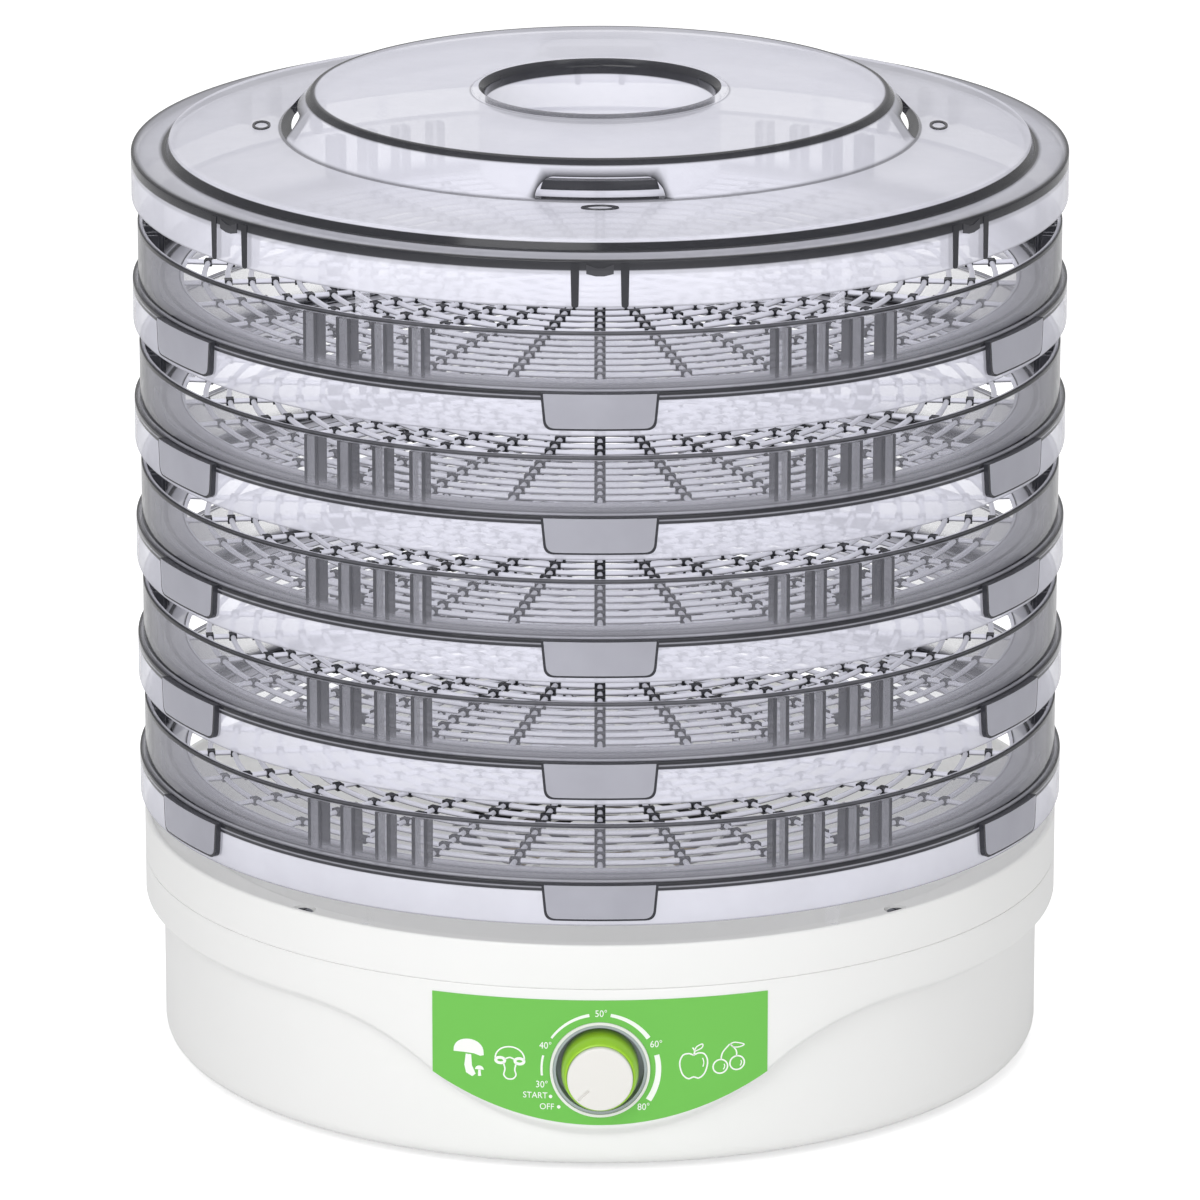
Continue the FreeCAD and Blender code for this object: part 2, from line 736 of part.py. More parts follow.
def ring_windows(hub, outer, rows, spokes, bar, start):
    """Windows of a round grid. Rows near the hub have half the spokes."""
    pitch = (outer - hub) / rows
    windows = []
    for row in range(rows):
        inner_radius = hub + row * pitch
        outer_radius = inner_radius + pitch - bar
        count = spokes if inner_radius > FULL_ROW_RADIUS else spokes // 2
        spread = math.pi / count
        for number in range(count):
            angle = start + (2 * number + 1) * spread
            windows.append((inner_radius, outer_radius, angle, spread, bar))
    return windows


def make_grille():
    windows = ring_windows(S.grille_hub.value, S.duct_radius.value - S.grille_bar.value,
                           GRILLE_RINGS, GRILLE_SPOKES, S.grille_bar.value, 0)
    face = window_face(S.grille_radius.value, windows)
    plate = doc.addObject("Part::Feature", "grille_plate")
    plate.Shape = face.extrude(FreeCAD.Vector(0, 0, S.grille_thickness.value))
    place(plate, z=bowl_floor)
    outer = S.duct_radius - S.fit_gap
    collar = turned("grille_collar", [
        (outer - S.grille_bar, deck_under), (outer, deck_under),
        (outer, bowl_floor + OVER), (outer - S.grille_bar, bowl_floor + OVER)])
    return fuse("outlet_grille", [plate, collar])


def make_label():
    ring = turned("label_sheet", [
        (collar_radius - S.label_recess, shell_bottom),
        (collar_radius - S.label_recess + S.label_thickness, shell_bottom),
        (collar_radius - S.label_recess + S.label_thickness, parting),
        (collar_radius - S.label_recess, parting)])
    cut_sheet = common("label_blank", ring, label_prism("label_form", 0))
    hole = outward("label_hole", ring_outside + S.fit_gap, -S.shell_wall, S.shell_wall * 2)
    return cut("panel_label", cut_sheet, hole)


def make_dial():
    ring_inside = S.cup_radius + S.fit_gap
    ring_back = -S.label_recess
    ring = on_dial("dial_ring", [
        (ring_inside, ring_back), (ring_inside + S.ring_width, ring_back),
        (ring_inside + S.ring_width, ring_back + S.ring_stand),
        (ring_inside, ring_back + S.ring_stand)])
    back = -S.cup_depth
    cup_front = back + S.cup_floor
    bushing_hole = S.bushing_radius + S.running_gap
    cup = on_dial("dial_cup", [
        (bushing_hole, back), (S.cup_radius, back),
        (S.cup_radius, S.label_thickness - S.label_recess),
        (S.cup_radius - S.cup_wall, S.label_thickness - S.label_recess),
        (S.cup_radius - S.cup_wall, cup_front), (bushing_hole, cup_front)])
    bore = S.shaft_radius + S.running_gap
    shaft_back = back - S.thermostat_depth + S.shell_wall
    thermostat = on_dial("thermostat_body", [
        (ZERO, back - S.thermostat_depth), (S.thermostat_radius, back - S.thermostat_depth),
        (S.thermostat_radius, back), (S.bushing_radius, back),
        (S.bushing_radius, back + S.bushing_reach), (bore, back + S.bushing_reach),
        (bore, shaft_back), (ZERO, shaft_back)])
    nut_block = doc.addObject("Part::Prism", "nut_block")
    nut_block.Polygon = 6
    bind(nut_block, "Circumradius", S.nut_radius)
    bind(nut_block, "Height", S.nut_thickness)
    place(nut_block, y=-collar_radius - cup_front, z=dial_height, axis=(1, 0, 0), angle=90)
    nut_hole = outward("nut_hole", bushing_hole, cup_front - OVER, S.nut_thickness + 2 * OVER)
    nut = cut("thermostat_nut", nut_block, nut_hole)

    shaft = on_dial("thermostat_shaft", [
        (ZERO, shaft_back + S.fit_gap), (S.shaft_radius, shaft_back + S.fit_gap),
        (S.shaft_radius, S.shaft_reach - S.fit_gap), (ZERO, S.shaft_reach - S.fit_gap)])
    knob_back = cup_front + S.knob_lift
    cap_seat = S.cap_face - S.cap_thickness
    knob = on_dial("knob_body", [
        (S.knob_pocket, knob_back), (S.knob_radius, knob_back), (S.knob_radius, S.knob_shoulder),
        (S.knob_front_radius, S.knob_front), (S.cap_radius + S.fit_gap / 2, S.knob_front),
        (S.cap_radius + S.fit_gap / 2, cap_seat), (ZERO, cap_seat), (ZERO, S.shaft_reach),
        (S.shaft_radius, S.shaft_reach), (S.shaft_radius, -S.knob_web),
        (S.knob_pocket, -S.knob_web)])
    cap = on_dial("knob_cap", [
        (ZERO, cap_seat), (S.cap_radius, cap_seat), (S.cap_radius, S.cap_face),
        (ZERO, S.cap_face)])
    return [ring, cup, thermostat, nut], [shaft, knob, cap]


# ---------------------------------------------------------------- screws, feet and mains entry

def screw(label, radius, head_radius, head, length, x, y, seat, down=True):
    """A pan-head screw whose head sits on a face at height seat."""
    sign = 1 if down else -1
    head_start = seat if down else seat - head
    shank_start = seat - length if down else seat
    parts = [cylinder(f"{label}_head", head_radius, head, x=x, y=y, z=head_start),
             cylinder(f"{label}_shank", radius, length, x=x, y=y, z=shank_start)]
    return fuse(label, parts)


def screws(label, angles, circle, seat, radius, head_radius, head, length, down=True):
    made = []
    for number, angle in enumerate(angles):
        x, y = around(circle, angle)
        made.append(screw(f"{label}_{number}", radius, head_radius, head, length, x, y, seat, down))
    return group(label, made)


def make_feet():
    feet = []
    barb = S.foot_stem_radius + S.foot_barb
    for number, angle in enumerate(FOOT_ANGLES, start=1):
        x, y = around(lower_radius - S.foot_inset, angle)
        feet.append(turned(f"foot_{number}", [
            (ZERO, ZERO), (S.foot_radius - S.foot_chamfer, ZERO), (S.foot_radius, S.foot_chamfer),
            (S.foot_radius, S.foot_height), (S.foot_stem_radius, S.foot_height),
            (S.foot_stem_radius, floor_top), (barb, floor_top),
            (S.foot_stem_radius, floor_top + S.foot_barb_height),
            (ZERO, floor_top + S.foot_barb_height)], x=x, y=y))
    return feet


def make_mains_entry():
    """Cord gland and its nut in the rear wall, and the terminal block behind it."""
    wall = S.shell_wall
    height = shell_bottom + S.gland_height
    back = -wall - S.gland_nut - S.gland_thread
    gland = turned("cord_gland", [
        (S.gland_bore, back), (S.gland_neck, back), (S.gland_neck, ZERO), (S.gland_flange, ZERO),
        (S.gland_flange, S.gland_flange_thickness), (S.gland_neck, S.gland_flange_thickness),
        (S.gland_tip, S.gland_reach), (S.gland_bore, S.gland_reach)],
        y=lower_radius, z=height, axis=(1, 0, 0), angle=-90)
    # The nut's face clears the curved inner wall at the nut's own radius.
    curve = S.gland_flange * S.gland_flange / (lower_radius * 2)
    nut_front = -wall - curve - S.fit_gap
    nut = turned("gland_nut", [
        (S.gland_neck, nut_front - S.gland_nut), (S.gland_flange, nut_front - S.gland_nut),
        (S.gland_flange, nut_front), (S.gland_neck, nut_front)],
        y=lower_radius, z=height, axis=(1, 0, 0), angle=-90)
    block = box("terminal_blank", S.terminal_width, S.terminal_depth, S.terminal_height,
                x=-S.terminal_width / 2, y=lower_radius - S.terminal_inset, z=floor_top)
    pitch = S.terminal_width / 3
    holes = []
    heads = []
    for number in (-1, 0, 1):
        x = pitch * number
        y = lower_radius - S.terminal_inset + S.terminal_depth / 2
        top = floor_top + S.terminal_height
        deep = S.terminal_height / 2
        holes.append(cylinder(f"terminal_hole_{number}", S.small_screw_radius, deep + OVER,
                              x=x, y=y, z=top - deep))
        holes.append(cylinder(f"terminal_way_{number}", S.screw_radius, S.terminal_depth + 2 * OVER,
                              x=x, y=y - S.terminal_depth / 2 - OVER,
                              z=floor_top + S.screw_radius * 2, axis=(1, 0, 0), angle=-90))
        heads.append(screw(f"terminal_screw_{number}", S.small_screw_radius,
                           S.small_head_radius, S.small_head, deep, x, y, top))
    terminal = cut("terminal_block", block, fuse("terminal_holes", holes))
    return [gland, nut, terminal, group("terminal_screws", heads)]


# ---------------------------------------------------------------- motor, fan and heater

bracket_bottom = floor_top + S.mount_height
bracket_top = bracket_bottom + S.bracket_thickness
core_bottom = bracket_top + S.pad_height
core_top = core_bottom + S.core_height
bridge_bottom = core_top + S.bridge_lift
bridge_top = bridge_bottom + S.bracket_thickness


def make_bracket():
    parts = [cylinder("bracket_hub", S.bracket_hub, S.bracket_thickness, z=bracket_bottom)]
    reach = S.mount_radius + S.boss_radius
    for number, angle in enumerate(MOUNT_ANGLES):
        x, y = around(ZERO, angle, -S.bracket_arm / 2)
        parts.append(box(f"bracket_arm_{number}", reach, S.bracket_arm, S.bracket_thickness,
                         x=x, y=y, z=bracket_bottom, angle=angle))
    for side in (-1, 1):
        parts.append(box(f"bracket_pad_{side}", S.pad_size, S.pad_size, S.pad_height + OVER,
                         x=-S.pad_size / 2, y=S.bolt_offset * side - S.pad_size / 2,
                         z=bracket_top - OVER))
    through = S.bracket_thickness + 2 * OVER
    tools = [cylinder("bracket_bore", S.bearing_radius, through, z=bracket_bottom - OVER)]
    for number, angle in enumerate(MOUNT_ANGLES):
        x, y = around(S.mount_radius, angle)
        tools.append(cylinder(f"bracket_hole_{number}", S.small_screw_radius + S.fit_gap,
                              through, x=x, y=y, z=bracket_bottom - OVER))
    for side in (-1, 1):
        tools.append(cylinder(f"bracket_bolt_{side}", S.screw_radius + S.fit_gap,
                              S.core_height, y=S.bolt_offset * side, z=bracket_bottom - OVER))
    return cut("motor_bracket", fuse("bracket_blank", parts), fuse("bracket_cuts", tools))


def make_core():
    width = S.core_back + S.core_front
    blank = box("core_blank", width, S.core_half_depth * 2, S.core_height,
                x=-S.core_back, y=-S.core_half_depth, z=core_bottom)
    window_start = S.core_bore + S.coil_build
    window_length = S.core_front - S.leg_width - window_start
    tools = [
        cylinder("core_bore_tool", S.core_bore, S.core_height + 2 * OVER, z=core_bottom - OVER),
        box("core_window", window_length, (S.coil_half_depth + OVER) * 2, S.core_height + 2 * OVER,
            x=window_start, y=-S.coil_half_depth - OVER, z=core_bottom - OVER),
    ]
    for side in (-1, 1):
        tools.append(cylinder(f"core_bolt_{side}", S.screw_radius + S.fit_gap,
                              S.core_height + 2 * OVER, y=S.bolt_offset * side,
                              z=core_bottom - OVER))
    return cut("motor_core", blank, fuse("core_cuts", tools))


def make_coil():
    """Winding round the core's outer leg."""
    play = S.coil_play
    inner_start = S.core_front - S.leg_width - play
    inner_length = S.leg_width + play * 2
    outer = box("coil_outer", inner_length + S.coil_build * 2, S.coil_half_depth * 2,
                S.core_height + (play + S.coil_build) * 2, x=inner_start - S.coil_build,
                y=-S.coil_half_depth, z=core_bottom - play - S.coil_build)
    inner = box("coil_inner", inner_length, (S.coil_half_depth + OVER) * 2,
                S.core_height + play * 2, x=inner_start, y=-S.coil_half_depth - OVER,
                z=core_bottom - play)
    return cut("motor_coil", outer, inner)


def make_bridge():
    length = S.core_half_depth * 2
    parts = [box("bridge_strap", S.bridge_width, length, S.bracket_thickness,
                 x=-S.bridge_width / 2, y=-S.core_half_depth, z=bridge_bottom)]
    for side in (-1, 1):
        parts.append(box(f"bridge_leg_{side}", S.bridge_width, S.pad_size,
                         S.bridge_lift + OVER, x=-S.bridge_width / 2,
                         y=(S.core_half_depth - S.pad_size / 2) * side - S.pad_size / 2,
                         z=core_top))
    tools = [cylinder("bridge_bore", S.bearing_radius, S.bracket_thickness + 2 * OVER,
                      z=bridge_bottom - OVER)]
    for side in (-1, 1):
        tools.append(cylinder(f"bridge_bolt_{side}", S.screw_radius + S.fit_gap,
                              S.core_height, y=S.bolt_offset * side, z=core_top - OVER))
    return cut("motor_bridge", fuse("bridge_blank", parts), fuse("bridge_cuts", tools))


def make_bearing(label, bottom):
    bore = S.motor_shaft_radius + S.running_gap
    return turned(label, [(bore, bottom), (S.bearing_radius, bottom),
                          (S.bearing_radius, bottom + S.bearing_height),
                          (bore, bottom + S.bearing_height)])


def make_motor():
    bolts = []
    length = bridge_top - bracket_bottom
    for side in (-1, 1):
        bolts.append(screw(f"motor_bolt_{side}", S.screw_radius, S.small_head_radius,
                           S.small_head, length, ZERO, S.bolt_offset * side, bridge_top))
    fixed = [make_bracket(), make_core(), make_coil(), make_bridge(),
             make_bearing("bearing_lower", bracket_bottom - S.bearing_stand),
             make_bearing("bearing_upper", bridge_bottom - S.bearing_stand),
             group("motor_bolts", bolts)]
    shaft_bottom = bracket_bottom - S.motor_shaft_stand
    shaft = turned("motor_shaft", [
        (ZERO, shaft_bottom), (S.motor_shaft_radius, shaft_bottom),
        (S.motor_shaft_radius, shaft_bottom + S.motor_shaft_length),
        (ZERO, shaft_bottom + S.motor_shaft_length)])
    rotor = turned("motor_rotor", [
        (S.motor_shaft_radius, core_bottom + S.rotor_end_play),
        (S.core_bore - S.air_gap, core_bottom + S.rotor_end_play),
        (S.core_bore - S.air_gap, core_top - S.rotor_end_play),
        (S.motor_shaft_radius, core_top - S.rotor_end_play)])
    return fixed, [shaft, rotor]


def make_fan():
    hub_bottom = bridge_top + S.fan_lift
    hub_top = hub_bottom + S.fan_hub_height
    hub = turned("fan_hub", [
        (S.motor_shaft_radius, hub_bottom), (S.fan_hub_radius, hub_bottom),
        (S.fan_hub_radius, hub_top), (S.motor_shaft_radius, hub_top)])
    blades = []
    middle = hub_bottom + S.fan_hub_height / 2
    for number in range(BLADE_COUNT):
        angle = (number + 0.5) * 360 / BLADE_COUNT
        blade = box(f"fan_blade_{number}", fan_radius - S.fan_hub_radius + 2 * OVER,
                    S.blade_chord, S.blade_thickness)
        pitch = FreeCAD.Rotation(FreeCAD.Vector(1, 0, 0), BLADE_PITCH)
        turn = FreeCAD.Rotation(FreeCAD.Vector(0, 0, 1), angle)
        # The blade's centre line lies at the hub's middle height.
        start = S.fan_hub_radius - 2 * OVER
        across = math.cos(math.radians(BLADE_PITCH)) / 2
        drop = math.sin(math.radians(BLADE_PITCH)) / 2
        x, y = around(start, angle, -S.blade_chord * across)
        place(blade, x=x, y=y, z=middle - S.blade_chord * drop)
        blade.Placement.Rotation = turn.multiply(pitch)
        blades.append(blade)
    fan = fuse("fan_impeller", [hub] + blades)
    clip = turned("fan_clip", [
        (S.motor_shaft_radius, hub_top), (S.clip_radius, hub_top),
        (S.clip_radius, hub_top + S.clip_height),
        (S.motor_shaft_radius, hub_top + S.clip_height)])
    return [fan, clip]


def make_duct():
    outer = S.duct_radius + S.duct_wall
    flange = outer + S.duct_flange
    body = new_body("duct_form")
    revolve(body, "duct_profile", [
        (S.duct_radius, deck_under - S.duct_length), (outer, deck_under - S.duct_length),
        (outer, deck_under - S.duct_wall), (flange, deck_under - S.duct_wall),
        (flange, deck_under), (S.duct_radius, deck_under)])
    tools = []
    for number, angle in enumerate(DUCT_SCREW_ANGLES):
        x, y = around(S.duct_radius + S.duct_screw_step + S.duct_wall, angle)
        tools.append(cylinder(f"duct_screw_hole_{number}", S.small_screw_radius + S.fit_gap,
                              S.duct_wall + 2 * OVER, x=x, y=y,
                              z=deck_under - S.duct_wall - OVER))
    return cut("fan_duct", body, fuse("duct_cuts", tools))


def make_heater():
    top = deck_under - S.heater_drop
    bottom = top - S.board_height
    half = S.duct_radius - S.fit_gap
    boards = []
    for number, angle in enumerate((0, 90)):
        x, y = around(-half, angle, -S.board_thickness / 2)
        boards.append(box(f"heater_board_{number}", half * 2, S.board_thickness,
                          S.board_height, x=x, y=y, z=bottom, angle=angle))
    groove = doc.addObject("Part::Torus", "heater_groove")
    bind(groove, "Radius1", S.coil_circle)
    bind(groove, "Radius2", S.coil_turn_radius + S.running_gap)
    place(groove, z=top)
    frame = cut("heater_frame", fuse("heater_boards", boards), groove)
    coil = doc.addObject("Part::Torus", "heater_coil")
    bind(coil, "Radius1", S.coil_circle)
    bind(coil, "Radius2", S.coil_turn_radius)
    place(coil, z=top)
    fuse_part = cylinder("thermal_fuse", S.fuse_radius, S.fuse_length, x=S.fuse_start,
                         y=S.board_thickness / 2 + S.fuse_radius, z=bottom + S.board_height / 2,
                         axis=(0, 1, 0), angle=90)
    return [frame, coil, fuse_part]


# ---------------------------------------------------------------- trays and lid

def make_tray_form():
    """One tray, counted from the tips of its own supports."""
    shoulder = S.leg_drop + S.support_drop
    rim = shoulder + S.tray_rise
    skirt_bottom = shoulder - S.skirt_depth
    border = S.skirt_radius - S.tray_margin
    body = new_body("tray_form")
    revolve(body, "tray_profile", [
        (S.skirt_radius - S.tray_wall, skirt_bottom), (S.skirt_radius, skirt_bottom),
        (S.skirt_radius, shoulder), (upper_radius, shoulder), (upper_radius, rim),
        (upper_inside, rim), (upper_inside, shoulder), (border, shoulder),
        (border, shoulder - S.tray_floor), (S.skirt_radius - S.tray_wall, shoulder - S.tray_floor)])
    tab_outside = S.skirt_radius + S.tab_stand
    tab = revolve(body, "tab", [
        (S.skirt_radius - S.tray_wall / 2, shoulder - S.tab_height),
        (tab_outside, shoulder - S.tab_height), (tab_outside, shoulder),
        (S.skirt_radius - S.tray_wall / 2, shoulder)], role="YZ_Plane", angle=S.tab_angle)
    repeat(body, "tabs", tab, TAB_COUNT)
    add_supports(body, S.support_drop, S.skirt_depth, S.tray_wall)
    posts = []
    middle = upper_inside - S.post_depth / 2
    for angle in POST_ANGLES:
        x, y = around(middle, angle)
        inner = x - S.post_depth / 2
        outer = x + S.post_depth / 2 + S.tray_wall / 2
        low = y - S.post_width / 2
        high = y + S.post_width / 2
        posts.append([(inner, low), (outer, low), (outer, high), (inner, high)])
    post = pad(body, "post", posts, S.tray_rise - S.post_short + S.tray_floor / 2,
               lift=shoulder - S.tray_floor / 2)
    pattern = repeat(body, "all_posts", post, TAB_COUNT)
    about_z(pattern, body)

    half_turn = math.pi / SPOKES
    windows = ring_windows(S.grid_hub.value, border.value, GRID_ROWS, SPOKES,
                           S.grid_bar.value, half_turn)
    grid = doc.addObject("Part::Feature", "tray_grid")
    face = window_face(border.value + S.tray_wall.value, windows)
    grid.Shape = face.extrude(FreeCAD.Vector(0, 0, S.tray_floor.value))
    place(grid, z=shoulder - S.tray_floor)
    return fuse("tray_moulding", [body, grid])


def make_trays():
    form = make_tray_form()
    trays = []
    for level in range(TRAY_COUNT):
        number = TRAY_COUNT - level
        tray = group(f"tray_{number}", [form])
        place(tray, z=deck_rim + S.rest_gap - S.leg_drop + ring_pitch * level)
        trays.append(tray)
    return trays


def make_lid():
    """The lid, counted from the tips of its own supports."""
    wall = S.lid_wall
    shoulder = S.leg_drop + S.lid_support_drop
    skirt_bottom = shoulder - S.lid_skirt_depth
    ring_inside = S.skirt_radius - S.lid_ring_width
    step_inside = ring_inside - S.lid_step_run
    cone_foot = S.skirt_radius - S.cone_inset
    cone_head = cone_foot - S.cone_run
    plateau = shoulder + S.plateau_rise
    bore = S.chimney_radius - wall
    lip = S.chimney_radius + S.chimney_lip
    chimney_bottom = plateau - S.chimney_length
    body = new_body("lid_form")
    form = revolve(body, "lid_profile", [
        (S.skirt_radius - wall, skirt_bottom), (S.skirt_radius, skirt_bottom),
        (S.skirt_radius, shoulder), (ring_inside, shoulder),
        (step_inside, shoulder + S.lid_step_rise), (cone_foot, shoulder + S.cone_foot_rise),
        (cone_head, plateau), (lip + wall, plateau), (lip, plateau + S.chimney_lip_rise),
        (S.chimney_radius, plateau + S.chimney_lip_rise), (bore, plateau),
        (bore, chimney_bottom), (S.chimney_radius, chimney_bottom),
        (S.chimney_radius, plateau - wall), (cone_head - wall / 2, plateau - wall),
        (cone_foot - wall, shoulder + S.cone_foot_rise - wall),
        (step_inside - wall, shoulder + S.lid_step_rise - wall),
        (ring_inside - wall, shoulder - wall), (S.skirt_radius - wall, shoulder - wall)])
    round_edges(body, "lid_rounding", form, S.lid_round, [(S.skirt_radius, shoulder)])
    add_supports(body, S.lid_support_drop, S.lid_skirt_depth, wall)
    low = shoulder + S.cone_foot_rise + S.vent_lift
    high = low + S.vent_height
    start = cone_head - S.vent_reach
    length = cone_foot - start + wall
    vents = []
    for number in range(VENT_COUNT):
        angle = number * 360 / VENT_COUNT
        x, y = around(start, angle, -S.vent_half_width)
        vents.append(box(f"vent_{number}", length, S.vent_half_width * 2, S.vent_height,
                         x=x, y=y, z=low, angle=angle))
    ribs = []
    rib_start = S.skirt_radius - wall / 2 - S.rib_depth
    for angle in RIB_ANGLES:
        for side in (-1, 1):
            # A rib runs from the skirt's lower edge up into the ring.
            turn = angle - 90
            x, y = around(rib_start, turn, S.rib_offset * side - S.rib_thickness / 2)
            ribs.append(box(f"lid_rib_{angle}_{side}", S.rib_depth, S.rib_thickness,
                            S.lid_skirt_depth - wall / 2, x=x, y=y, z=skirt_bottom, angle=turn))
    whole = fuse("lid_with_ribs", [body] + ribs)
    opened = cut("lid_moulding", whole, fuse("vent_cuts", vents))
    lid = group("lid", [opened])
    top_rim = deck_rim + ring_pitch * TRAY_COUNT
    return place(lid, z=top_rim + S.rest_gap - S.leg_drop)


# ---------------------------------------------------------------- the whole machine

def make_everything():
    pieces = [make_housing(), make_deck(), make_grille(), make_label()]
    fixed_dial, turning_dial = make_dial()
    pieces += fixed_dial + turning_dial + make_feet() + make_mains_entry()
    fixed_motor, turning_motor = make_motor()
    pieces += fixed_motor + turning_motor + make_fan() + [make_duct()] + make_heater()
    pieces.append(screws("deck_screws", DECK_SCREW_ANGLES, S.skirt_radius - S.deck_screw_inset,
                         ledge - S.screw_head, S.screw_radius, S.screw_head_radius, S.screw_head,
                         S.screw_depth))
    pieces.append(screws("bracket_screws", MOUNT_ANGLES, S.mount_radius, bracket_top,
                         S.small_screw_radius, S.small_head_radius, S.small_head,
                         S.mount_height))
    pieces.append(screws("duct_screws", DUCT_SCREW_ANGLES,
                         S.duct_radius + S.duct_screw_step + S.duct_wall,
                         deck_under - S.duct_wall, S.small_screw_radius, S.small_head_radius,
                         S.small_head, S.duct_wall + S.shell_wall - S.fit_gap, down=False))
    return pieces + make_trays() + [make_lid()]


def check_and_write(pieces):
    """Refuse a failed object or a bad shape, then write one file for each piece."""
    faults = []
    for item in doc.Objects:
        if "Invalid" in item.State or "Error" in item.State:
            faults.append(f"{item.Label}: {item.State}")
    for piece in pieces:
        shape = piece.Shape
        if shape.isNull() or not shape.isValid() or not shape.Solids:
            faults.append(f"{piece.Label}: bad shape")
    if faults:
        raise RuntimeError("; ".join(faults))
    os.makedirs("parts", exist_ok=True)
    for piece in pieces:
        piece.Shape.exportStep(f"parts/{piece.Label}.step")
        volume = sum(solid.Volume for solid in piece.Shape.Solids)
        print(f"{piece.Label}: {len(piece.Shape.Solids)} solid(s), {volume:.0f} mm3")


all_pieces = make_everything()
doc.recompute()
check_and_write(all_pieces)
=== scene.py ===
import json
import math

import bmesh
import bpy
from mathutils import Matrix, Vector


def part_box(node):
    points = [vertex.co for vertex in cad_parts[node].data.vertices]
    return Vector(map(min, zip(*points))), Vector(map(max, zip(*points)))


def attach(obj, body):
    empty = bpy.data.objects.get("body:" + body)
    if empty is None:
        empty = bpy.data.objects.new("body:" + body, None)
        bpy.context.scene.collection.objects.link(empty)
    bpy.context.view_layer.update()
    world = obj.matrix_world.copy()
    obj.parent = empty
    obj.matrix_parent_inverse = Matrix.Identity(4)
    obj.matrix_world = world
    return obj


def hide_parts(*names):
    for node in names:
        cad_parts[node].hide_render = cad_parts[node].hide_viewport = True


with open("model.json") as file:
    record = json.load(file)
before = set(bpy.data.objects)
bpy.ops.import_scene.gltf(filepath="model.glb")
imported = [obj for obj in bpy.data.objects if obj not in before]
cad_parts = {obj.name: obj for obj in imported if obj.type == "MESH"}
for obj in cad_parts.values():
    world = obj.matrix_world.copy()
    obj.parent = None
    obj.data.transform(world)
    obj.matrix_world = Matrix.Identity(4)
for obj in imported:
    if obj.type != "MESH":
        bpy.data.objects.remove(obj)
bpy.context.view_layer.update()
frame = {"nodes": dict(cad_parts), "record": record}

# Looks of a round five-tray food dehydrator. Sizes are in millimetres until a mesh is written.
MM = 0.001
SEGMENTS = 192


def low(node):
    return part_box(node)[0] / MM


def high(node):
    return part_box(node)[1] / MM


# ---- sizes, read from the frame where it has them

SKIRT = high("lid").x
RIM_RADIUS = high("deck_cover").x
WALL_RADIUS = SKIRT - 8
PARTING = low("deck_cover").z
DECK_RIM = high("deck_cover").z
SHELL_BOTTOM = low("base_housing").z
DIAL_X = (low("dial_cup").x + high("dial_cup").x) / 2
DIAL_Z = (low("dial_cup").z + high("dial_cup").z) / 2
CUP_RADIUS = (high("dial_cup").x - low("dial_cup").x) / 2
GLAND_Z = (low("cord_gland").z + high("cord_gland").z) / 2
TRAY_RIMS = {f"tray_{n}": high(f"tray_{n}").z for n in range(1, 6)}
LID_TOP = high("lid").z
LID_TIP = low("lid").z

TRAY_RISE = 20.5
SKIRT_DROP = 15.2
TRAY_LEG = 25.3
TRAY_WALL = 1.8
UPPER = SKIRT - 2
FLOOR_EDGE = SKIRT - 17
HUB = 16.0
TAB_FRONT = SKIRT + 2
LID_LEG = 27.6
LID_SKIRT = 16.3
LID_WALL = 2.0
SHELL_WALL = 2.5
SCREW_CIRCLE = SKIRT - 11
LABEL_FACE = RIM_RADIUS + 0.3
ON_DIAL = Matrix.Translation((DIAL_X, -RIM_RADIUS, DIAL_Z))
QUARTERS = (0, 90, 180, 270)


# ---- mesh building

class Form:
    """Points, faces and two painted values: tone for painted dark reflections along edges, side for
    painted shade on walls that deepens at a slant (painted light below zero).
    """

    def __init__(self):
        self.points = []
        self.faces = []
        self.tones = []
        self.sides = []

    def add(self, points, faces, tones=0.0, sides=0.0):
        start = len(self.points)
        self.points += [Vector(p) for p in points]
        self.faces += [tuple(start + i for i in face) for face in faces]
        self.tones += tones if isinstance(tones, list) else [tones] * len(points)
        self.sides += sides if isinstance(sides, list) else [sides] * len(points)
        return self

    def join(self, other, matrix=None):
        moved = [matrix @ p for p in other.points] if matrix else other.points
        return self.add(moved, other.faces, other.tones, other.sides)

    def around(self, piece, angles):
        """Join a piece turned about Z to each angle in degrees."""
        for angle in angles:
            self.join(piece, turned(angle))
        return self


def turned(degrees, axis="Z"):
    return Matrix.Rotation(math.radians(degrees), 4, axis)


def round_line(steps, wide, tall=None, x=0.0, z=0.0, start=0, end=360):
    """Points along a circle or an ellipse; a whole turn leaves out its last point."""
    tall = wide if tall is None else tall
    count = steps if end - start >= 360 else steps + 1
    angles = [math.radians(start + (end - start) * step / steps) for step in range(count)]
    return [(x + wide * math.cos(angle), z + tall * math.sin(angle)) for angle in angles]


def rounded(corners, steps=4):
    """Corners as (x, y, ..., radius); each corner is swapped for a short curve."""
    made = []
    count = len(corners)
    for index, corner in enumerate(corners):
        x, y, *paint, radius = corner
        here = Vector((x, y))
        back = Vector(corners[index - 1][:2]) - here
        ahead = Vector(corners[(index + 1) % count][:2]) - here
        reach = min(radius, back.length * 0.45, ahead.length * 0.45)
        if reach < 0.01:
            made.append((x, y, *paint))
            continue
        start = here + back.normalized() * reach
        end = here + ahead.normalized() * reach
        for step in range(steps + 1):
            t = step / steps
            spot = start * (1 - t) ** 2 + here * 2 * t * (1 - t) + end * t * t
            made.append((spot.x, spot.y, *paint))
    return made


def painted(corners):
    """Corners of (radius, height, tone, side, rounding), rounded; values left out are zero."""
    return rounded([(*corner, *[0.0] * (5 - len(corner))) for corner in corners])


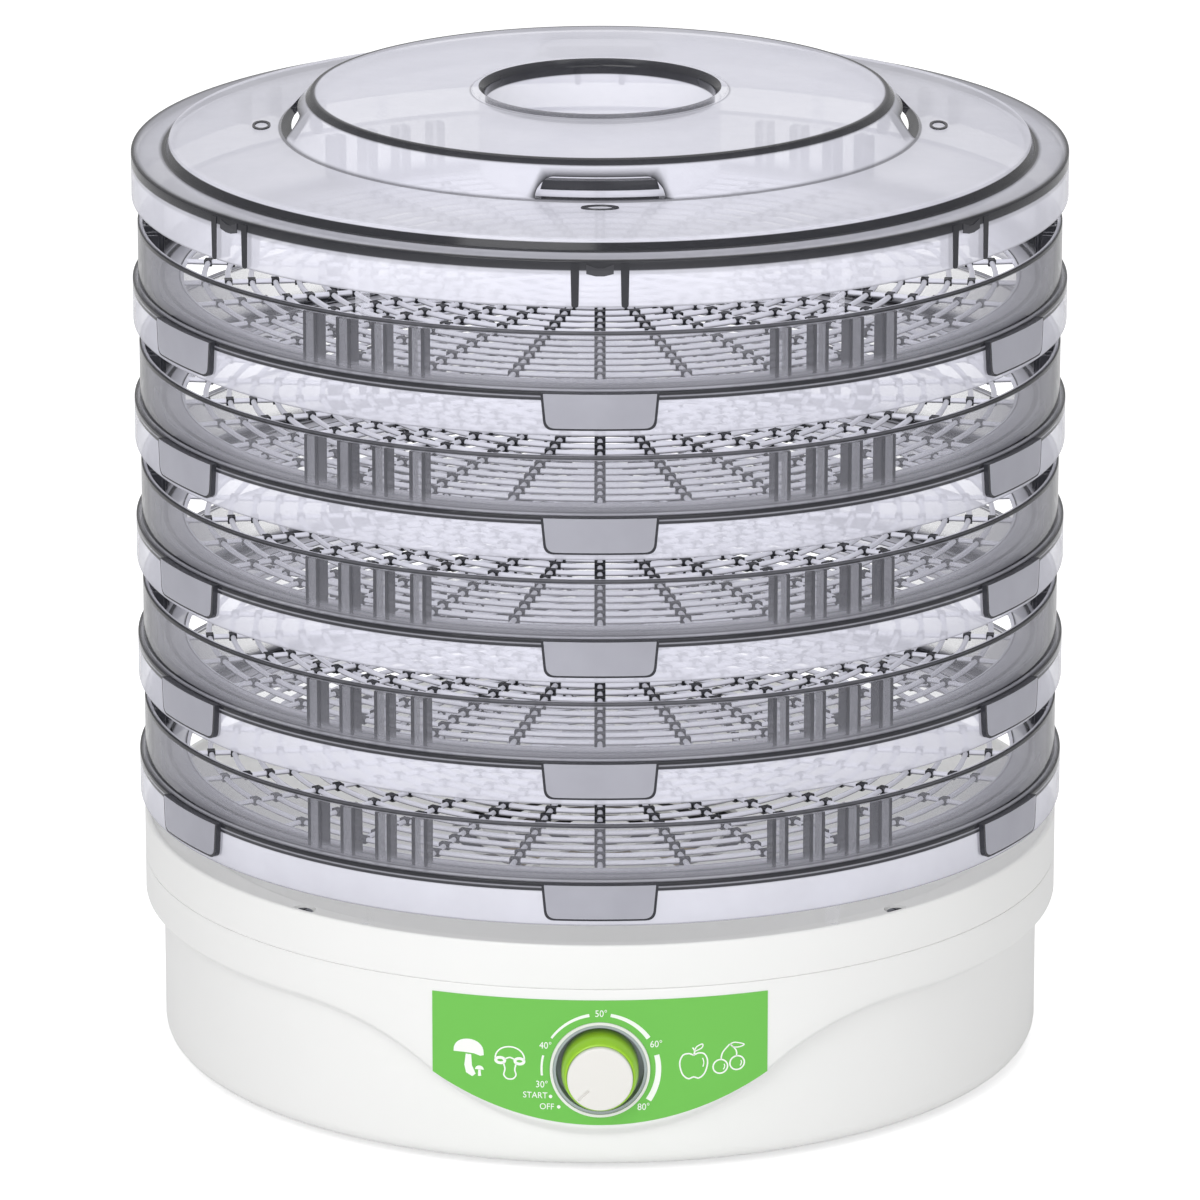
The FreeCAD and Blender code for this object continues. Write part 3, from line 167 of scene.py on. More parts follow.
def web(count, columns, closed=True):
    """Faces between columns of points that stand in a ring; closed ones are rings themselves."""
    faces = []
    for column in range(columns):
        here, ahead = column * count, (column + 1) % columns * count
        for j in range(count if closed else count - 1):
            k = (j + 1) % count
            faces.append((here + j, ahead + j, ahead + k, here + k))
    return faces


def turn(outline, segments=SEGMENTS):
    """Turn a closed outline of (radius, height, tone, side) about Z."""
    outline = [(*p, *[0.0] * (4 - len(p))) for p in outline]
    points = [(r * x, r * y, z) for x, y in round_line(segments, 1.0) for r, z, *_ in outline]
    return Form().add(points, web(len(outline), segments), [p[2] for p in outline] * segments,
                      [p[3] for p in outline] * segments)


def slab(near, far, tone=0.0, side=0.0):
    """A solid between two outlines with equal counts of points."""
    count = len(near)
    faces = [tuple(range(count)), tuple(range(2 * count - 1, count - 1, -1))]
    faces += [(i, i + count, (i + 1) % count + count, (i + 1) % count) for i in range(count)]
    return Form().add(near + far, faces, tone, side)


def prism(outline, near, far, tone=0.0):
    """An outline of (x, z) carried from near to far along -Y."""
    return slab([(x, -near, z) for x, z in outline], [(x, -far, z) for x, z in outline], tone)


def upright(outline, bottom, top, tone=0.0, side=0.0):
    """An outline of (x, y) carried from bottom to top."""
    return slab([(x, y, bottom) for x, y in outline], [(x, y, top) for x, y in outline], tone, side)


def block(x0, x1, y0, y1, z0, z1, tone=0.0, side=0.0):
    return upright([(x0, y0), (x1, y0), (x1, y1), (x0, y1)], z0, z1, tone, side)


def bent_plate(outline, back, front, strips=10, edge=0.0, edge_tone=0.0, tone=0.0):
    """A flat outline of (x, z), thick from radius back to radius front, bent about the Z axis."""
    bm = bmesh.new()
    layer = bm.verts.layers.float.new("tone")
    depth = bm.verts.layers.float.new("depth")
    face = bm.faces.new([bm.verts.new((x, 0, z)) for x, z in outline])
    for vert in bm.verts:
        vert[layer] = max(edge_tone, tone)
    if edge:
        outer = set(bm.verts)
        bmesh.ops.inset_region(bm, faces=[face], thickness=edge, use_even_offset=True)
        for vert in bm.verts:
            if vert not in outer:
                vert[layer] = tone
    xs = [x for x, _ in outline]
    for step in range(1, strips):
        cut = min(xs) + (max(xs) - min(xs)) * step / strips
        geometry = bm.verts[:] + bm.edges[:] + bm.faces[:]
        bmesh.ops.bisect_plane(bm, geom=geometry, plane_co=(cut, 0, 0), plane_no=(1, 0, 0), dist=1e-5)
    made = bmesh.ops.extrude_face_region(bm, geom=bm.faces[:], use_keep_orig=True)
    for item in made["geom"]:
        if isinstance(item, bmesh.types.BMVert):
            item[depth] = 1.0
    bm.verts.index_update()
    points = []
    for vert in bm.verts:
        radius = front + (back - front) * vert[depth]
        angle = vert.co.x / front
        points.append((radius * math.sin(angle), -radius * math.cos(angle), vert.co.z))
    form = Form().add(points, [[v.index for v in f.verts] for f in bm.faces],
                      [v[layer] for v in bm.verts])
    bm.free()
    return form


def write_mesh(name, form, sharp=32):
    """A mesh in metres with its faces outwards, smooth but for its sharp edges."""
    mesh = bpy.data.meshes.new(name)
    mesh.from_pydata([p * MM for p in form.points], [], form.faces)
    for title, values in (("tone", form.tones), ("side", form.sides)):
        layer = mesh.attributes.new(title, "FLOAT", "POINT")
        layer.data.foreach_set("value", values)
    bm = bmesh.new()
    bm.from_mesh(mesh)
    bmesh.ops.remove_doubles(bm, verts=bm.verts, dist=2e-6)
    bmesh.ops.dissolve_degenerate(bm, edges=bm.edges, dist=1e-7)
    bmesh.ops.recalc_face_normals(bm, faces=bm.faces)
    bm.to_mesh(mesh)
    bm.free()
    mesh.shade_smooth()
    mesh.set_sharp_from_angle(angle=math.radians(sharp))
    return mesh


def new_object(name, mesh):
    item = bpy.data.objects.new(name, mesh)
    bpy.context.scene.collection.objects.link(item)
    return item


def plain_mesh(item):
    """The item's mesh with its modifiers worked in; the item itself is removed."""
    bpy.context.view_layer.update()
    graph = bpy.context.evaluated_depsgraph_get()
    mesh = bpy.data.meshes.new_from_object(item.evaluated_get(graph))
    bpy.data.objects.remove(item)
    return mesh


def form_of(mesh):
    """Read a mesh back as a form, in millimetres."""
    points = [v.co / MM for v in mesh.vertices]
    faces = [tuple(f.vertices) for f in mesh.polygons]
    paints = []
    for title in ("tone", "side"):
        values = [0.0] * len(points)
        layer = mesh.attributes.get(title)
        if layer:
            layer.data.foreach_get("value", values)
        paints.append(values)
    return Form().add(points, faces, *paints)


def thicken(name, form, thickness):
    """A skin with a wall on its inner side, as a mesh."""
    item = new_object(name, write_mesh(name, form))
    wall = item.modifiers.new("wall", "SOLIDIFY")
    wall.thickness = thickness * MM
    wall.offset = -1.0
    return plain_mesh(item)


def carve(form, cutter, name):
    """The form less the cutter."""
    item = new_object(name, write_mesh(name, form))
    tool = new_object(name + "_tool", write_mesh(name + "_tool", cutter))
    step = item.modifiers.new("carve", "BOOLEAN")
    step.operation = "DIFFERENCE"
    step.solver = "EXACT"
    step.use_self = True
    step.object = tool
    mesh = plain_mesh(item)
    bpy.data.objects.remove(tool)
    return form_of(mesh)


def finish_piece(name, shape, body, slot, replaces=(), finish=None, sharp=40):
    """Make an object of a form or a mesh, with its finish and body; the slot names the finish when
    none is given.
    """
    mesh = write_mesh(name, shape, sharp) if isinstance(shape, Form) else shape
    mesh.materials.clear()
    mesh.materials.append(FINISHES[finish or slot])
    item = new_object(name, mesh)
    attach(item, body)
    if replaces:
        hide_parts(*replaces)


# ---- node trees

class Tree:
    """A node tree with short ways to add and link its nodes."""

    def __init__(self, tree):
        self.tree = tree

    def add(self, kind, settings=None, **links):
        """A node; its sockets are named by words with _ for a space, or i and a number."""
        node = self.tree.nodes.new(kind)
        for key, value in (settings or {}).items():
            setattr(node, key, value)
        for key, value in links.items():
            index = int(key[1:]) if key[0] == "i" and key[1:].isdigit() else key.replace("_", " ")
            self.feed(node.inputs[index], value)
        return node

    def feed(self, socket, value):
        if isinstance(value, bpy.types.NodeSocket):
            self.tree.links.new(value, socket)
        else:
            socket.default_value = value

    def math(self, operation, a, b=0.0):
        return self.add("ShaderNodeMath", {"operation": operation}, i0=a, i1=b).outputs[0]


class Group(Tree):
    """A node group; its inputs are starting values, or kinds of socket by name."""

    def __init__(self, name, kind, inputs, outputs):
        super().__init__(bpy.data.node_groups.new(name, kind))
        for title, value in inputs.items():
            socket = value if isinstance(value, str) else type(value).__name__.title()
            made = self.tree.interface.new_socket(title, in_out="INPUT",
                                                  socket_type="NodeSocket" + socket)
            if not isinstance(value, str):
                made.default_value = value
        gives = "Geometry" if kind == "GeometryNodeTree" else "Float"
        for title in outputs:
            self.tree.interface.new_socket(title, in_out="OUTPUT", socket_type="NodeSocket" + gives)
        self.start = self.tree.nodes.new("NodeGroupInput").outputs
        self.end = self.tree.nodes.new("NodeGroupOutput").inputs

    def gather(self, parts):
        node = self.add("GeometryNodeJoinGeometry")
        for part in parts:
            self.tree.links.new(part, node.inputs[0])
        return self.add("GeometryNodeRealizeInstances", Geometry=node.outputs[0]).outputs[0]

    def finish(self, geometry):
        """Give the geometry the material of the tree's input and send it out."""
        done = self.add("GeometryNodeSetMaterial", Geometry=geometry,
                        Material=self.start["Material"])
        self.feed(self.end["Result"], done.outputs[0])
        return self.tree

    def store(self, geometry, name, value):
        """Keep a number on the points of a geometry."""
        kind = {"data_type": "FLOAT", "domain": "POINT"}
        return self.add("GeometryNodeStoreNamedAttribute", kind, Geometry=geometry, Name=name,
                        Value=value).outputs[0]

    def place_parts(self):
        """Where a point lies, as Y and X."""
        spot = self.add("GeometryNodeInputPosition").outputs[0]
        parts = self.add("ShaderNodeSeparateXYZ", Vector=spot).outputs
        return parts["Y"], parts["X"]


def spot_ring(tree, count, start, piece):
    """Instances of a piece turned step by step about Z."""
    points = tree.add("GeometryNodePoints", Count=count).outputs[0]
    index = tree.add("GeometryNodeInputIndex").outputs[0]
    step = tree.math("DIVIDE", 2 * math.pi, count)
    angle = tree.math("ADD", tree.math("MULTIPLY", index, step), start)
    vector = tree.add("ShaderNodeCombineXYZ", Z=angle).outputs[0]
    rotation = tree.add("FunctionNodeEulerToRotation", Euler=vector).outputs[0]
    node = tree.add("GeometryNodeInstanceOnPoints", Points=points, Instance=piece, Rotation=rotation)
    return node.outputs[0]


def make_repeat_tree():
    tree = Group("repeat_round", "GeometryNodeTree",
                 {"Piece": "Object", "Count": 6, "Material": "Material"}, ["Result"])
    piece = tree.add("GeometryNodeObjectInfo", Object=tree.start["Piece"]).outputs["Geometry"]
    return tree.finish(tree.gather([spot_ring(tree, tree.start["Count"], 0.0, piece)]))


def make_grid_tree():
    """A round grid: rings, spokes (half as many near the hub) and a knot at each crossing outside the
    middle, short of the outermost ring.
    """
    # Painted shade on the bars' undersides: how far down a face must point, and how dark it is
    # painted.
    under_limit, underside_shade_tone = -0.05, 0.95
    knot_sides = (0.85, 1.2, 0.72)
    tree = Group("round_grid", "GeometryNodeTree",
                 {"Hub": 0.016, "Outer": 0.148, "Middle": 0.04, "Bar": 0.002, "Rows": 16,
                  "Spokes": 30, "Knot": 0.0014, "Segments": 120, "Material": "Material"}, ["Result"])
    start = tree.start
    span = tree.math("SUBTRACT", start["Outer"], start["Hub"])
    pitch = tree.math("DIVIDE", span, start["Rows"])
    radius = tree.math("DIVIDE", start["Bar"], 2.0)
    profile = tree.add("GeometryNodeCurvePrimitiveCircle", Resolution=8, Radius=radius).outputs[0]
    index = tree.add("GeometryNodeInputIndex").outputs[0]

    ring = tree.add("GeometryNodeCurvePrimitiveCircle", Resolution=start["Segments"], Radius=1.0)
    spots = tree.add("GeometryNodePoints", Count=tree.math("ADD", start["Rows"], 1.0)).outputs[0]
    reach = tree.math("ADD", tree.math("MULTIPLY", index, pitch), start["Hub"])
    rings = tree.add("GeometryNodeInstanceOnPoints", Points=spots, Instance=ring.outputs[0],
                     Scale=reach).outputs[0]
    parts = [rings]
    half = tree.math("DIVIDE", start["Spokes"], 2.0)
    for count, near, far in ((start["Spokes"], start["Middle"], start["Outer"]),
                             (half, start["Hub"], start["Middle"])):
        first = tree.add("ShaderNodeCombineXYZ", X=near).outputs[0]
        last = tree.add("ShaderNodeCombineXYZ", X=far).outputs[0]
        line = tree.add("GeometryNodeCurvePrimitiveLine", Start=first, End=last).outputs[0]
        offset = tree.math("DIVIDE", math.pi, start["Spokes"])
        parts.append(spot_ring(tree, count, offset, line))
    curves = tree.gather(parts)
    bars = tree.add("GeometryNodeCurveToMesh", Curve=curves, i1=profile).outputs[0]
    # Bar faces that point downwards are darkened with painted shade.
    normal = tree.add("GeometryNodeInputNormal").outputs[0]
    upward = tree.add("ShaderNodeSeparateXYZ", Vector=normal).outputs["Z"]
    shaded_underside = tree.math("MULTIPLY", tree.math("LESS_THAN", upward, under_limit), underside_shade_tone)
    bars = tree.store(bars, "tone", shaded_underside)
    bars = tree.store(bars, "side", -1.0)

    total = tree.math("MULTIPLY", start["Spokes"], start["Rows"])
    knots = tree.add("GeometryNodePoints", Count=total).outputs[0]
    row = tree.math("FLOOR", tree.math("DIVIDE", index, start["Spokes"]))
    column = tree.math("MODULO", index, start["Spokes"])
    away = tree.math("ADD", tree.math("MULTIPLY", row, pitch), start["Hub"])
    turn_step = tree.math("DIVIDE", 2 * math.pi, start["Spokes"])
    bearing = tree.math("MULTIPLY", tree.math("ADD", column, 0.5), turn_step)
    place = tree.add("ShaderNodeCombineXYZ",
                     X=tree.math("MULTIPLY", away, tree.math("COSINE", bearing)),
                     Y=tree.math("MULTIPLY", away, tree.math("SINE", bearing))).outputs[0]
    placed = tree.add("GeometryNodeSetPosition", Geometry=knots, Position=place).outputs[0]
    outside = tree.math("GREATER_THAN", away, start["Middle"])
    keep = tree.add("GeometryNodeDeleteGeometry", {"domain": "POINT"}, Geometry=placed,
                    Selection=tree.math("SUBTRACT", 1.0, outside)).outputs[0]
    cube = tree.add("GeometryNodeMeshCube").outputs[0]
    across = tree.add("ShaderNodeVectorMath", {"operation": "SCALE"}, i0=knot_sides)
    tree.feed(across.inputs["Scale"], tree.math("MULTIPLY", start["Knot"], 2.0))
    angle = tree.math("ARCTAN2", *tree.place_parts())
    aim = tree.add("FunctionNodeEulerToRotation",
                   Euler=tree.add("ShaderNodeCombineXYZ", Z=angle).outputs[0]).outputs[0]
    crossings = tree.add("GeometryNodeInstanceOnPoints", Points=keep, Instance=cube, Rotation=aim,
                         Scale=across.outputs[0]).outputs[0]
    knobs = tree.add("GeometryNodeRealizeInstances", Geometry=crossings).outputs[0]
    # Each knot takes the full tone: a painted dark reflection where the bars cross.
    knobs = tree.store(knobs, "tone", 1.0)
    return tree.finish(tree.gather([bars, knobs]))


def run_tree(tree, values):
    """Work a node tree with its named inputs and give back the mesh."""
    item = new_object("work", bpy.data.meshes.new("work"))
    step = item.modifiers.new("nodes", "NODES")
    step.node_group = tree
    for socket in tree.interface.items_tree:
        if socket.item_type == "SOCKET" and socket.in_out == "INPUT" and socket.name in values:
            step[socket.identifier] = values[socket.name]
    return plain_mesh(item)


def repeated(form, count, material):
    """The form turned step by step about Z."""
    source = new_object("source", write_mesh("source", form))
    mesh = run_tree(REPEAT, {"Piece": source, "Count": count, "Material": FINISHES[material]})
    bpy.data.objects.remove(source)
    return form_of(mesh)


REPEAT = make_repeat_tree()
GRID = make_grid_tree()
FINISHES = {}


# ---- materials

def tint(red, green, blue):
    """A screen colour of 0 to 255 as linear light."""
    made = []
    for part in (red, green, blue):
        part /= 255
        made.append(part / 12.92 if part <= 0.04045 else ((part + 0.055) / 1.055) ** 2.4)
    return (*made, 1.0)


def shade(colour, factor):
    return (*[min(1.0, part * factor) for part in colour[:3]], 1.0)


def make_surface_group():
    """Slow colour drift and fine grain that every material shares."""
    tree = Group("surface_variation", "ShaderNodeTree",
                 {"Vector": "Vector", "Drift": 30.0, "Grain": 900.0}, ["Slow", "Fine"])
    for source, detail, target in (("Drift", 3.0, "Slow"), ("Grain", 2.0, "Fine")):
        noise = tree.add("ShaderNodeTexNoise", Vector=tree.start["Vector"],
                         Scale=tree.start[source], Detail=detail)
        tree.feed(tree.end[target], noise.outputs[0])
    return tree.tree


def make_mark_group():
    """Painted tone and side with the grazing slant, as the darkness and the cover of clear plastic:
    painted dark reflection at edges, painted shade on walls.
    """
    slant_power, rim_power, rim_cover, drift_cover = 2.2, 5.0, 0.3, 0.12
    tree = Group("clear_edges", "ShaderNodeTree",
                 {"Tone": 0.0, "Side": 0.0, "Slant": 0.0, "Slow": 0.5, "Face Cover": 0.5,
                  "Wall Cover": 0.3, "Edge Cover": 0.97, "Wall Shade": 0.62}, ["Edge", "Cover", "Rough"])
    start = tree.start
    lifted = tree.math("MULTIPLY", tree.math("POWER", start["Slant"], slant_power), start["Side"])
    mask = tree.math("ADD", start["Tone"], tree.math("MAXIMUM", lifted, 0.0))
    mask = tree.add("ShaderNodeClamp", Value=mask, Min=-1.0).outputs[0]
    # Walls, where side is above zero, take painted shade towards the dark colour.
    wall_shade = tree.math("MULTIPLY", start["Side"], start["Wall Shade"])
    dark = tree.add("ShaderNodeClamp", Value=tree.math("MAXIMUM", mask, wall_shade)).outputs[0]
    thin = tree.math("SUBTRACT", start["Wall Cover"], start["Face Cover"])
    face = tree.math("ADD", start["Face Cover"], tree.math("MULTIPLY", thin, start["Side"]))
    drift = tree.math("MULTIPLY", tree.math("SUBTRACT", start["Slow"], 0.5), drift_cover)
    rim = tree.math("MULTIPLY", tree.math("POWER", start["Slant"], rim_power), rim_cover)
    face = tree.math("ADD", tree.math("ADD", face, rim), drift)
    gap = tree.math("SUBTRACT", start["Edge Cover"], face)
    cover = tree.math("ADD", face, tree.math("MULTIPLY", gap, mask))
    tree.feed(tree.end["Edge"], dark)
    tree.feed(tree.end["Cover"], tree.add("ShaderNodeClamp", Value=cover).outputs[0])
    tree.feed(tree.end["Rough"], tree.math("ADD", tree.math("MULTIPLY", start["Slow"], 0.12), 0.06))
    return tree.tree


class Paint(Tree):
    """A material's node tree with its Principled shader."""

    def __init__(self, name):
        self.material = bpy.data.materials.new(name)
        self.material.use_nodes = True
        super().__init__(self.material.node_tree)
        self.shader = self.tree.nodes["Principled BSDF"]

    def place(self):
        return self.add("ShaderNodeTexCoord").outputs["Object"]

    def variation(self, drift, grain):
        node = self.add("ShaderNodeGroup", {"node_tree": SURFACE}, Vector=self.place(), Drift=drift,
                        Grain=grain)
        return node.outputs["Slow"], node.outputs["Fine"]

    def mix(self, factor, a, b):
        return self.add("ShaderNodeMix", {"data_type": "RGBA"}, i0=factor, i6=a, i7=b).outputs[2]

    def bump(self, height, strength, distance):
        node = self.add("ShaderNodeBump", Height=height, Strength=strength, Distance=distance)
        self.shade(Normal=node.outputs[0])

    def shade(self, **values):
        """Set or link the shader's own sockets."""
        for key, value in values.items():
            self.feed(self.shader.inputs[key.replace("_", " ")], value)


def solid(name, colour, roughness, drift=25.0, grain=1400.0, spread=0.03, relief=0.12,
          metallic=0.0, coat=0.0, bands=None):
    """Opaque plastic, rubber or metal; bands is (direction, scale, second colour)."""
    paint = Paint(name)
    slow, height = paint.variation(drift, grain)
    colours = paint.mix(slow, shade(colour, 1 - spread), shade(colour, 1 + spread))
    if bands:
        direction, scale, second = bands
        wave = paint.add("ShaderNodeTexWave", {"wave_type": "BANDS", "bands_direction": direction},
                         Vector=paint.place(), Scale=scale, Distortion=0.2, Detail=0.0)
        colours = paint.mix(wave.outputs["Fac"], second, colours)
        height = wave.outputs["Fac"]
    rough = paint.add("ShaderNodeMapRange", Value=slow, To_Min=roughness * 0.85,
                      To_Max=min(1.0, roughness * 1.15))
    paint.shade(Base_Color=colours, Roughness=rough.outputs[0], Metallic=metallic,
                Coat_Weight=coat)
    paint.bump(height, relief, 0.0002)
    FINISHES[name] = paint.material


def clear(name, light, face_cover, wall_cover, edge_cover):
    """Clear moulded plastic: see-through faces, edges darkened by painted reflection, walls by
    painted shade, and a shine.
    """
    paint = Paint(name)
    slow = paint.variation(38.0, 500.0)[0]
    tone = paint.add("ShaderNodeAttribute", {"attribute_name": "tone"}).outputs["Fac"]
    side = paint.add("ShaderNodeAttribute", {"attribute_name": "side"}).outputs["Fac"]
    slant = paint.add("ShaderNodeLayerWeight", Blend=0.5).outputs["Facing"]
    node = paint.add("ShaderNodeGroup", {"node_tree": EDGES}, Tone=tone, Side=side, Slant=slant,
                     Slow=slow, Face_Cover=face_cover, Wall_Cover=wall_cover, Edge_Cover=edge_cover)
    lights = paint.mix(slow, shade(light, 0.94), shade(light, 1.06))
    path = paint.add("ShaderNodeLightPath").outputs
    lit = paint.math("MAXIMUM", path["Is Shadow Ray"], path["Is Diffuse Ray"])
    let_through = paint.math("SUBTRACT", 1.0, paint.math("MULTIPLY", lit, LIGHT_LET_IN))
    paint.shade(Base_Color=paint.mix(node.outputs["Edge"], lights, SHADE_AND_REFLECTION_COLOUR),
                Alpha=paint.math("MULTIPLY", node.outputs["Cover"], let_through),
                Roughness=node.outputs["Rough"], IOR=1.5, Specular_IOR_Level=0.3)
    paint.bump(slow, 0.25, 0.0006)
    FINISHES[name] = paint.material


SURFACE = make_surface_group()
EDGES = make_mark_group()
LIGHT_LET_IN = 0.9
# The dark colour of painted reflections at edges and painted shade on walls.
SHADE_AND_REFLECTION_COLOUR = tint(20, 21, 27)

solid("white_shell", tint(240, 240, 239), 0.36, spread=0.012, relief=0.05, coat=0.1)
solid("white_trim", tint(236, 236, 234), 0.4, spread=0.012, relief=0.05)
solid("green_label", tint(111, 194, 79), 0.45, 9.0, 2400.0, 0.03, 0.03)
solid("grey_dial", tint(172, 180, 186), 0.42, spread=0.02, relief=0.05)
solid("green_knob", tint(156, 208, 40), 0.34, 30.0, 1800.0, 0.04, 0.04, coat=0.2)
solid("dark_plastic", tint(46, 47, 50), 0.5, 30.0, 1200.0, 0.08, 0.2)
solid("cream_terminal", tint(226, 219, 196), 0.5, 40.0, 1200.0, 0.04, 0.1)
solid("zinc_steel", tint(172, 174, 178), 0.34, 120.0, 1800.0, 0.12, 0.15, 1.0)
solid("lamination_steel", tint(128, 128, 132), 0.5, 60.0, 900.0, 0.08, 0.4, 1.0,
      bands=("Z", 320.0, tint(70, 70, 74)))
solid("copper_winding", tint(196, 116, 62), 0.32, 60.0, 900.0, 0.08, 0.6, 0.9,
      bands=("Z", 420.0, tint(120, 62, 30)))
solid("bronze_bush", tint(176, 134, 78), 0.4, 80.0, 1600.0, 0.08, 0.2, 1.0)
solid("rotor_aluminium", tint(190, 192, 196), 0.4, 70.0, 900.0, 0.06, 0.3, 1.0,
      bands=("Z", 300.0, tint(120, 122, 126)))
solid("grey_fan", tint(84, 86, 90), 0.45, 30.0, 1400.0, 0.06, 0.12)
solid("mica_board", tint(178, 160, 118), 0.5, 45.0, 260.0, 0.16, 0.25)
solid("heater_wire", tint(140, 134, 128), 0.38, 220.0, 1600.0, 0.2, 0.3, 1.0)
solid("fuse_case", tint(206, 208, 210), 0.3, 90.0, 1500.0, 0.06, 0.1, 1.0)
solid("rubber_foot", tint(58, 58, 60), 0.8, 50.0, 700.0, 0.1, 0.35)
solid("white_print", tint(246, 250, 244), 0.5, 20.0, 2000.0, 0.02, 0.03)
solid("knob_white", tint(232, 230, 226), 0.32, 30.0, 1800.0, 0.012, 0.03, coat=0.1)
clear("clear_tray", tint(230, 230, 243), 0.46, 0.13, 0.98)
clear("clear_lid", tint(238, 238, 252), 0.56, 0.4, 0.99)


# ---- trays

def make_tab():
    """One grip: a bent plate with rounded lower corners and a raised lip round its edge."""
    half, tall = 20.1, 12.8
    low_half = half - 1.2
    outline = rounded([(-half, 0.0, 0.2), (-low_half, -tall, 3.2), (low_half, -tall, 3.2),
                       (half, 0.0, 0.2)], 6)
    # The edge tone paints a dark reflection round the grip and a faint one on its face.
    plate = bent_plate(outline, SKIRT - 1, TAB_FRONT, 12, 0.5, 0.97, 0.12)
    inner = [(x * 0.955, z * 0.93 - 0.2) for x, z in outline]
    return plate.join(bent_plate(inner, TAB_FRONT - 0.4, TAB_FRONT + 0.12, 12, 0.35, -0.1, 0.12))


def make_post():
    """A post on the tray's wall, along +X: two fins with a web between them."""
    inside = UPPER - TRAY_WALL
    low_end, half, thick = -0.5, 2.3, 0.6
    # The web takes painted wall shade; the fins' tone paints them dark with reflection.
    post = block(inside - 1.0, inside + 0.5, -1.6, 1.6, low_end, TRAY_RISE - 2.4, 0.3, 1.0)
    for y in (-half, half):
        post.join(block(inside - 4.6, inside + 0.5, y - thick, y + thick, low_end, TRAY_RISE - 2.2,
                        0.97))
    return post


def make_sector():
    """What stands on a tray every sixth turn: a grip, four posts and one support."""
    form = make_tab().around(make_post(), (-67.5, -62.5, -57.5, -52.5))
    return form.around(make_fin(TRAY_LEG, SKIRT_DROP, TRAY_WALL), [-60])


def make_fin(leg, drop, wall):
    """The thin fin that carries a ring on the rim below, along +X, shoulder at zero."""
    outside = UPPER - TRAY_WALL - 0.3
    inside = outside - 3.4
    seat = -leg + 2.5
    half = 1.2
    outline = [(inside, -leg), (outside, -leg), (outside, seat), (UPPER, seat), (UPPER, -drop),
               (SKIRT - wall / 2, -drop), (SKIRT - wall / 2, -wall / 2), (inside, -wall / 2)]
    return prism(outline, half, -half, -0.85)


def make_tray_form():
    """One tray with its shoulder at height zero."""
    inside = UPPER - TRAY_WALL
    skirt_inside = SKIRT - TRAY_WALL
    # Tones paint dark reflections along the skirt, shoulder, rim and floor edge; side paints shade on
    # the upper wall.
    form = turn(painted([
        (skirt_inside, -SKIRT_DROP, 0.3, 0, 0.3), (SKIRT, -SKIRT_DROP, 0.5, 0, 0.4),
        (SKIRT, -SKIRT_DROP + 0.8), (SKIRT, -3.2), (SKIRT, -2.8, 0.98), (SKIRT, -2.0, 0.95),
        (SKIRT, -1.6, 0.55), (SKIRT, -1.2, 0.98), (SKIRT, 0, 0.98, 0, 0.5), (UPPER, 0, 0.5, 0.5, 0.4),
        (UPPER, 0.9, 0.8, 1.0), (UPPER, 1.8, 0.35, 1.0), (UPPER, 5.0, 0.1, 1.0),
        (UPPER, TRAY_RISE - 1.7, 0.05, 1.0), (UPPER, TRAY_RISE - 1.1, 0.98, 1.0),
        (UPPER, TRAY_RISE, 0.9, 0.3, 0.5), (inside, TRAY_RISE, -0.2, 0, 0.5),
        (inside, TRAY_RISE - 0.9, 0.8, 1.0), (inside, TRAY_RISE - 1.7, 0, 1.0),
        (inside, 4.0, 0.05, 1.0), (inside, 0, 0.9, 1.0, 0.4), (inside - 3.0, 0, 0.6, 1.0),
        (inside - 5.5, 0, 0.35, 0.6), (inside - 6.5, 0, 0.95, 0.6), (inside - 8.0, 0, 0.4, 0.4),
        (FLOOR_EDGE + 1, 0, 0.3), (FLOOR_EDGE, 0, 0.95, 0, 0.4), (FLOOR_EDGE, -2.0, 0.98, 0, 0.4),
        (FLOOR_EDGE + 2, -2.0, 0.3, 0.5), (skirt_inside - 1, -2.0, 0.5, 0.5),
        (skirt_inside, -2.0, 0.7, 0, 0.4), (skirt_inside, -4.0)]))
    form.join(repeated(make_sector(), 6, "clear_tray"))
    grid = run_tree(GRID, {"Hub": HUB * MM, "Outer": FLOOR_EDGE * MM, "Middle": 40.75 * MM,
                           "Bar": 2 * MM, "Rows": 16, "Spokes": 30, "Knot": 1.6 * MM,
                           "Segments": 120, "Material": FINISHES["clear_tray"]})
    form.join(form_of(grid), Matrix.Translation((0, 0, -1.0)))
    hub = painted([(0, -2, 0.1), (HUB, -2, 0.3, 0, 0.5), (HUB, 0, 0.3, 0, 0.5), (0, 0, 0.1)])
    return form.join(turn(hub, 60))


def make_trays():
    master = write_mesh("tray_clear", make_tray_form(), 40)
    for node, rim in TRAY_RIMS.items():
        mesh = master.copy()
        mesh.transform(Matrix.Translation((0, 0, (rim - TRAY_RISE) * MM)))
        finish_piece(node + "_clear", mesh, node + "_body", "clear_tray", [node])


# ---- lid

CHIMNEY = 42.4
CONE_FOOT = SKIRT - 52.4
CONE_HEAD = CONE_FOOT - 10.9
VENT_HALF = 22.4
VENT_TALL = 6.5
RIB_ANGLES = (0, 50, 130, 180, 230, 310)


def vent_outline(half, bottom, top, corner):
    right = [(half, bottom, 0.8), (half - 0.8, bottom + 2.8, corner), (half - 4.4, top, corner)]
    left = [(-x, z, size) for x, z, size in reversed(right)]
    return rounded(right + left, 6)


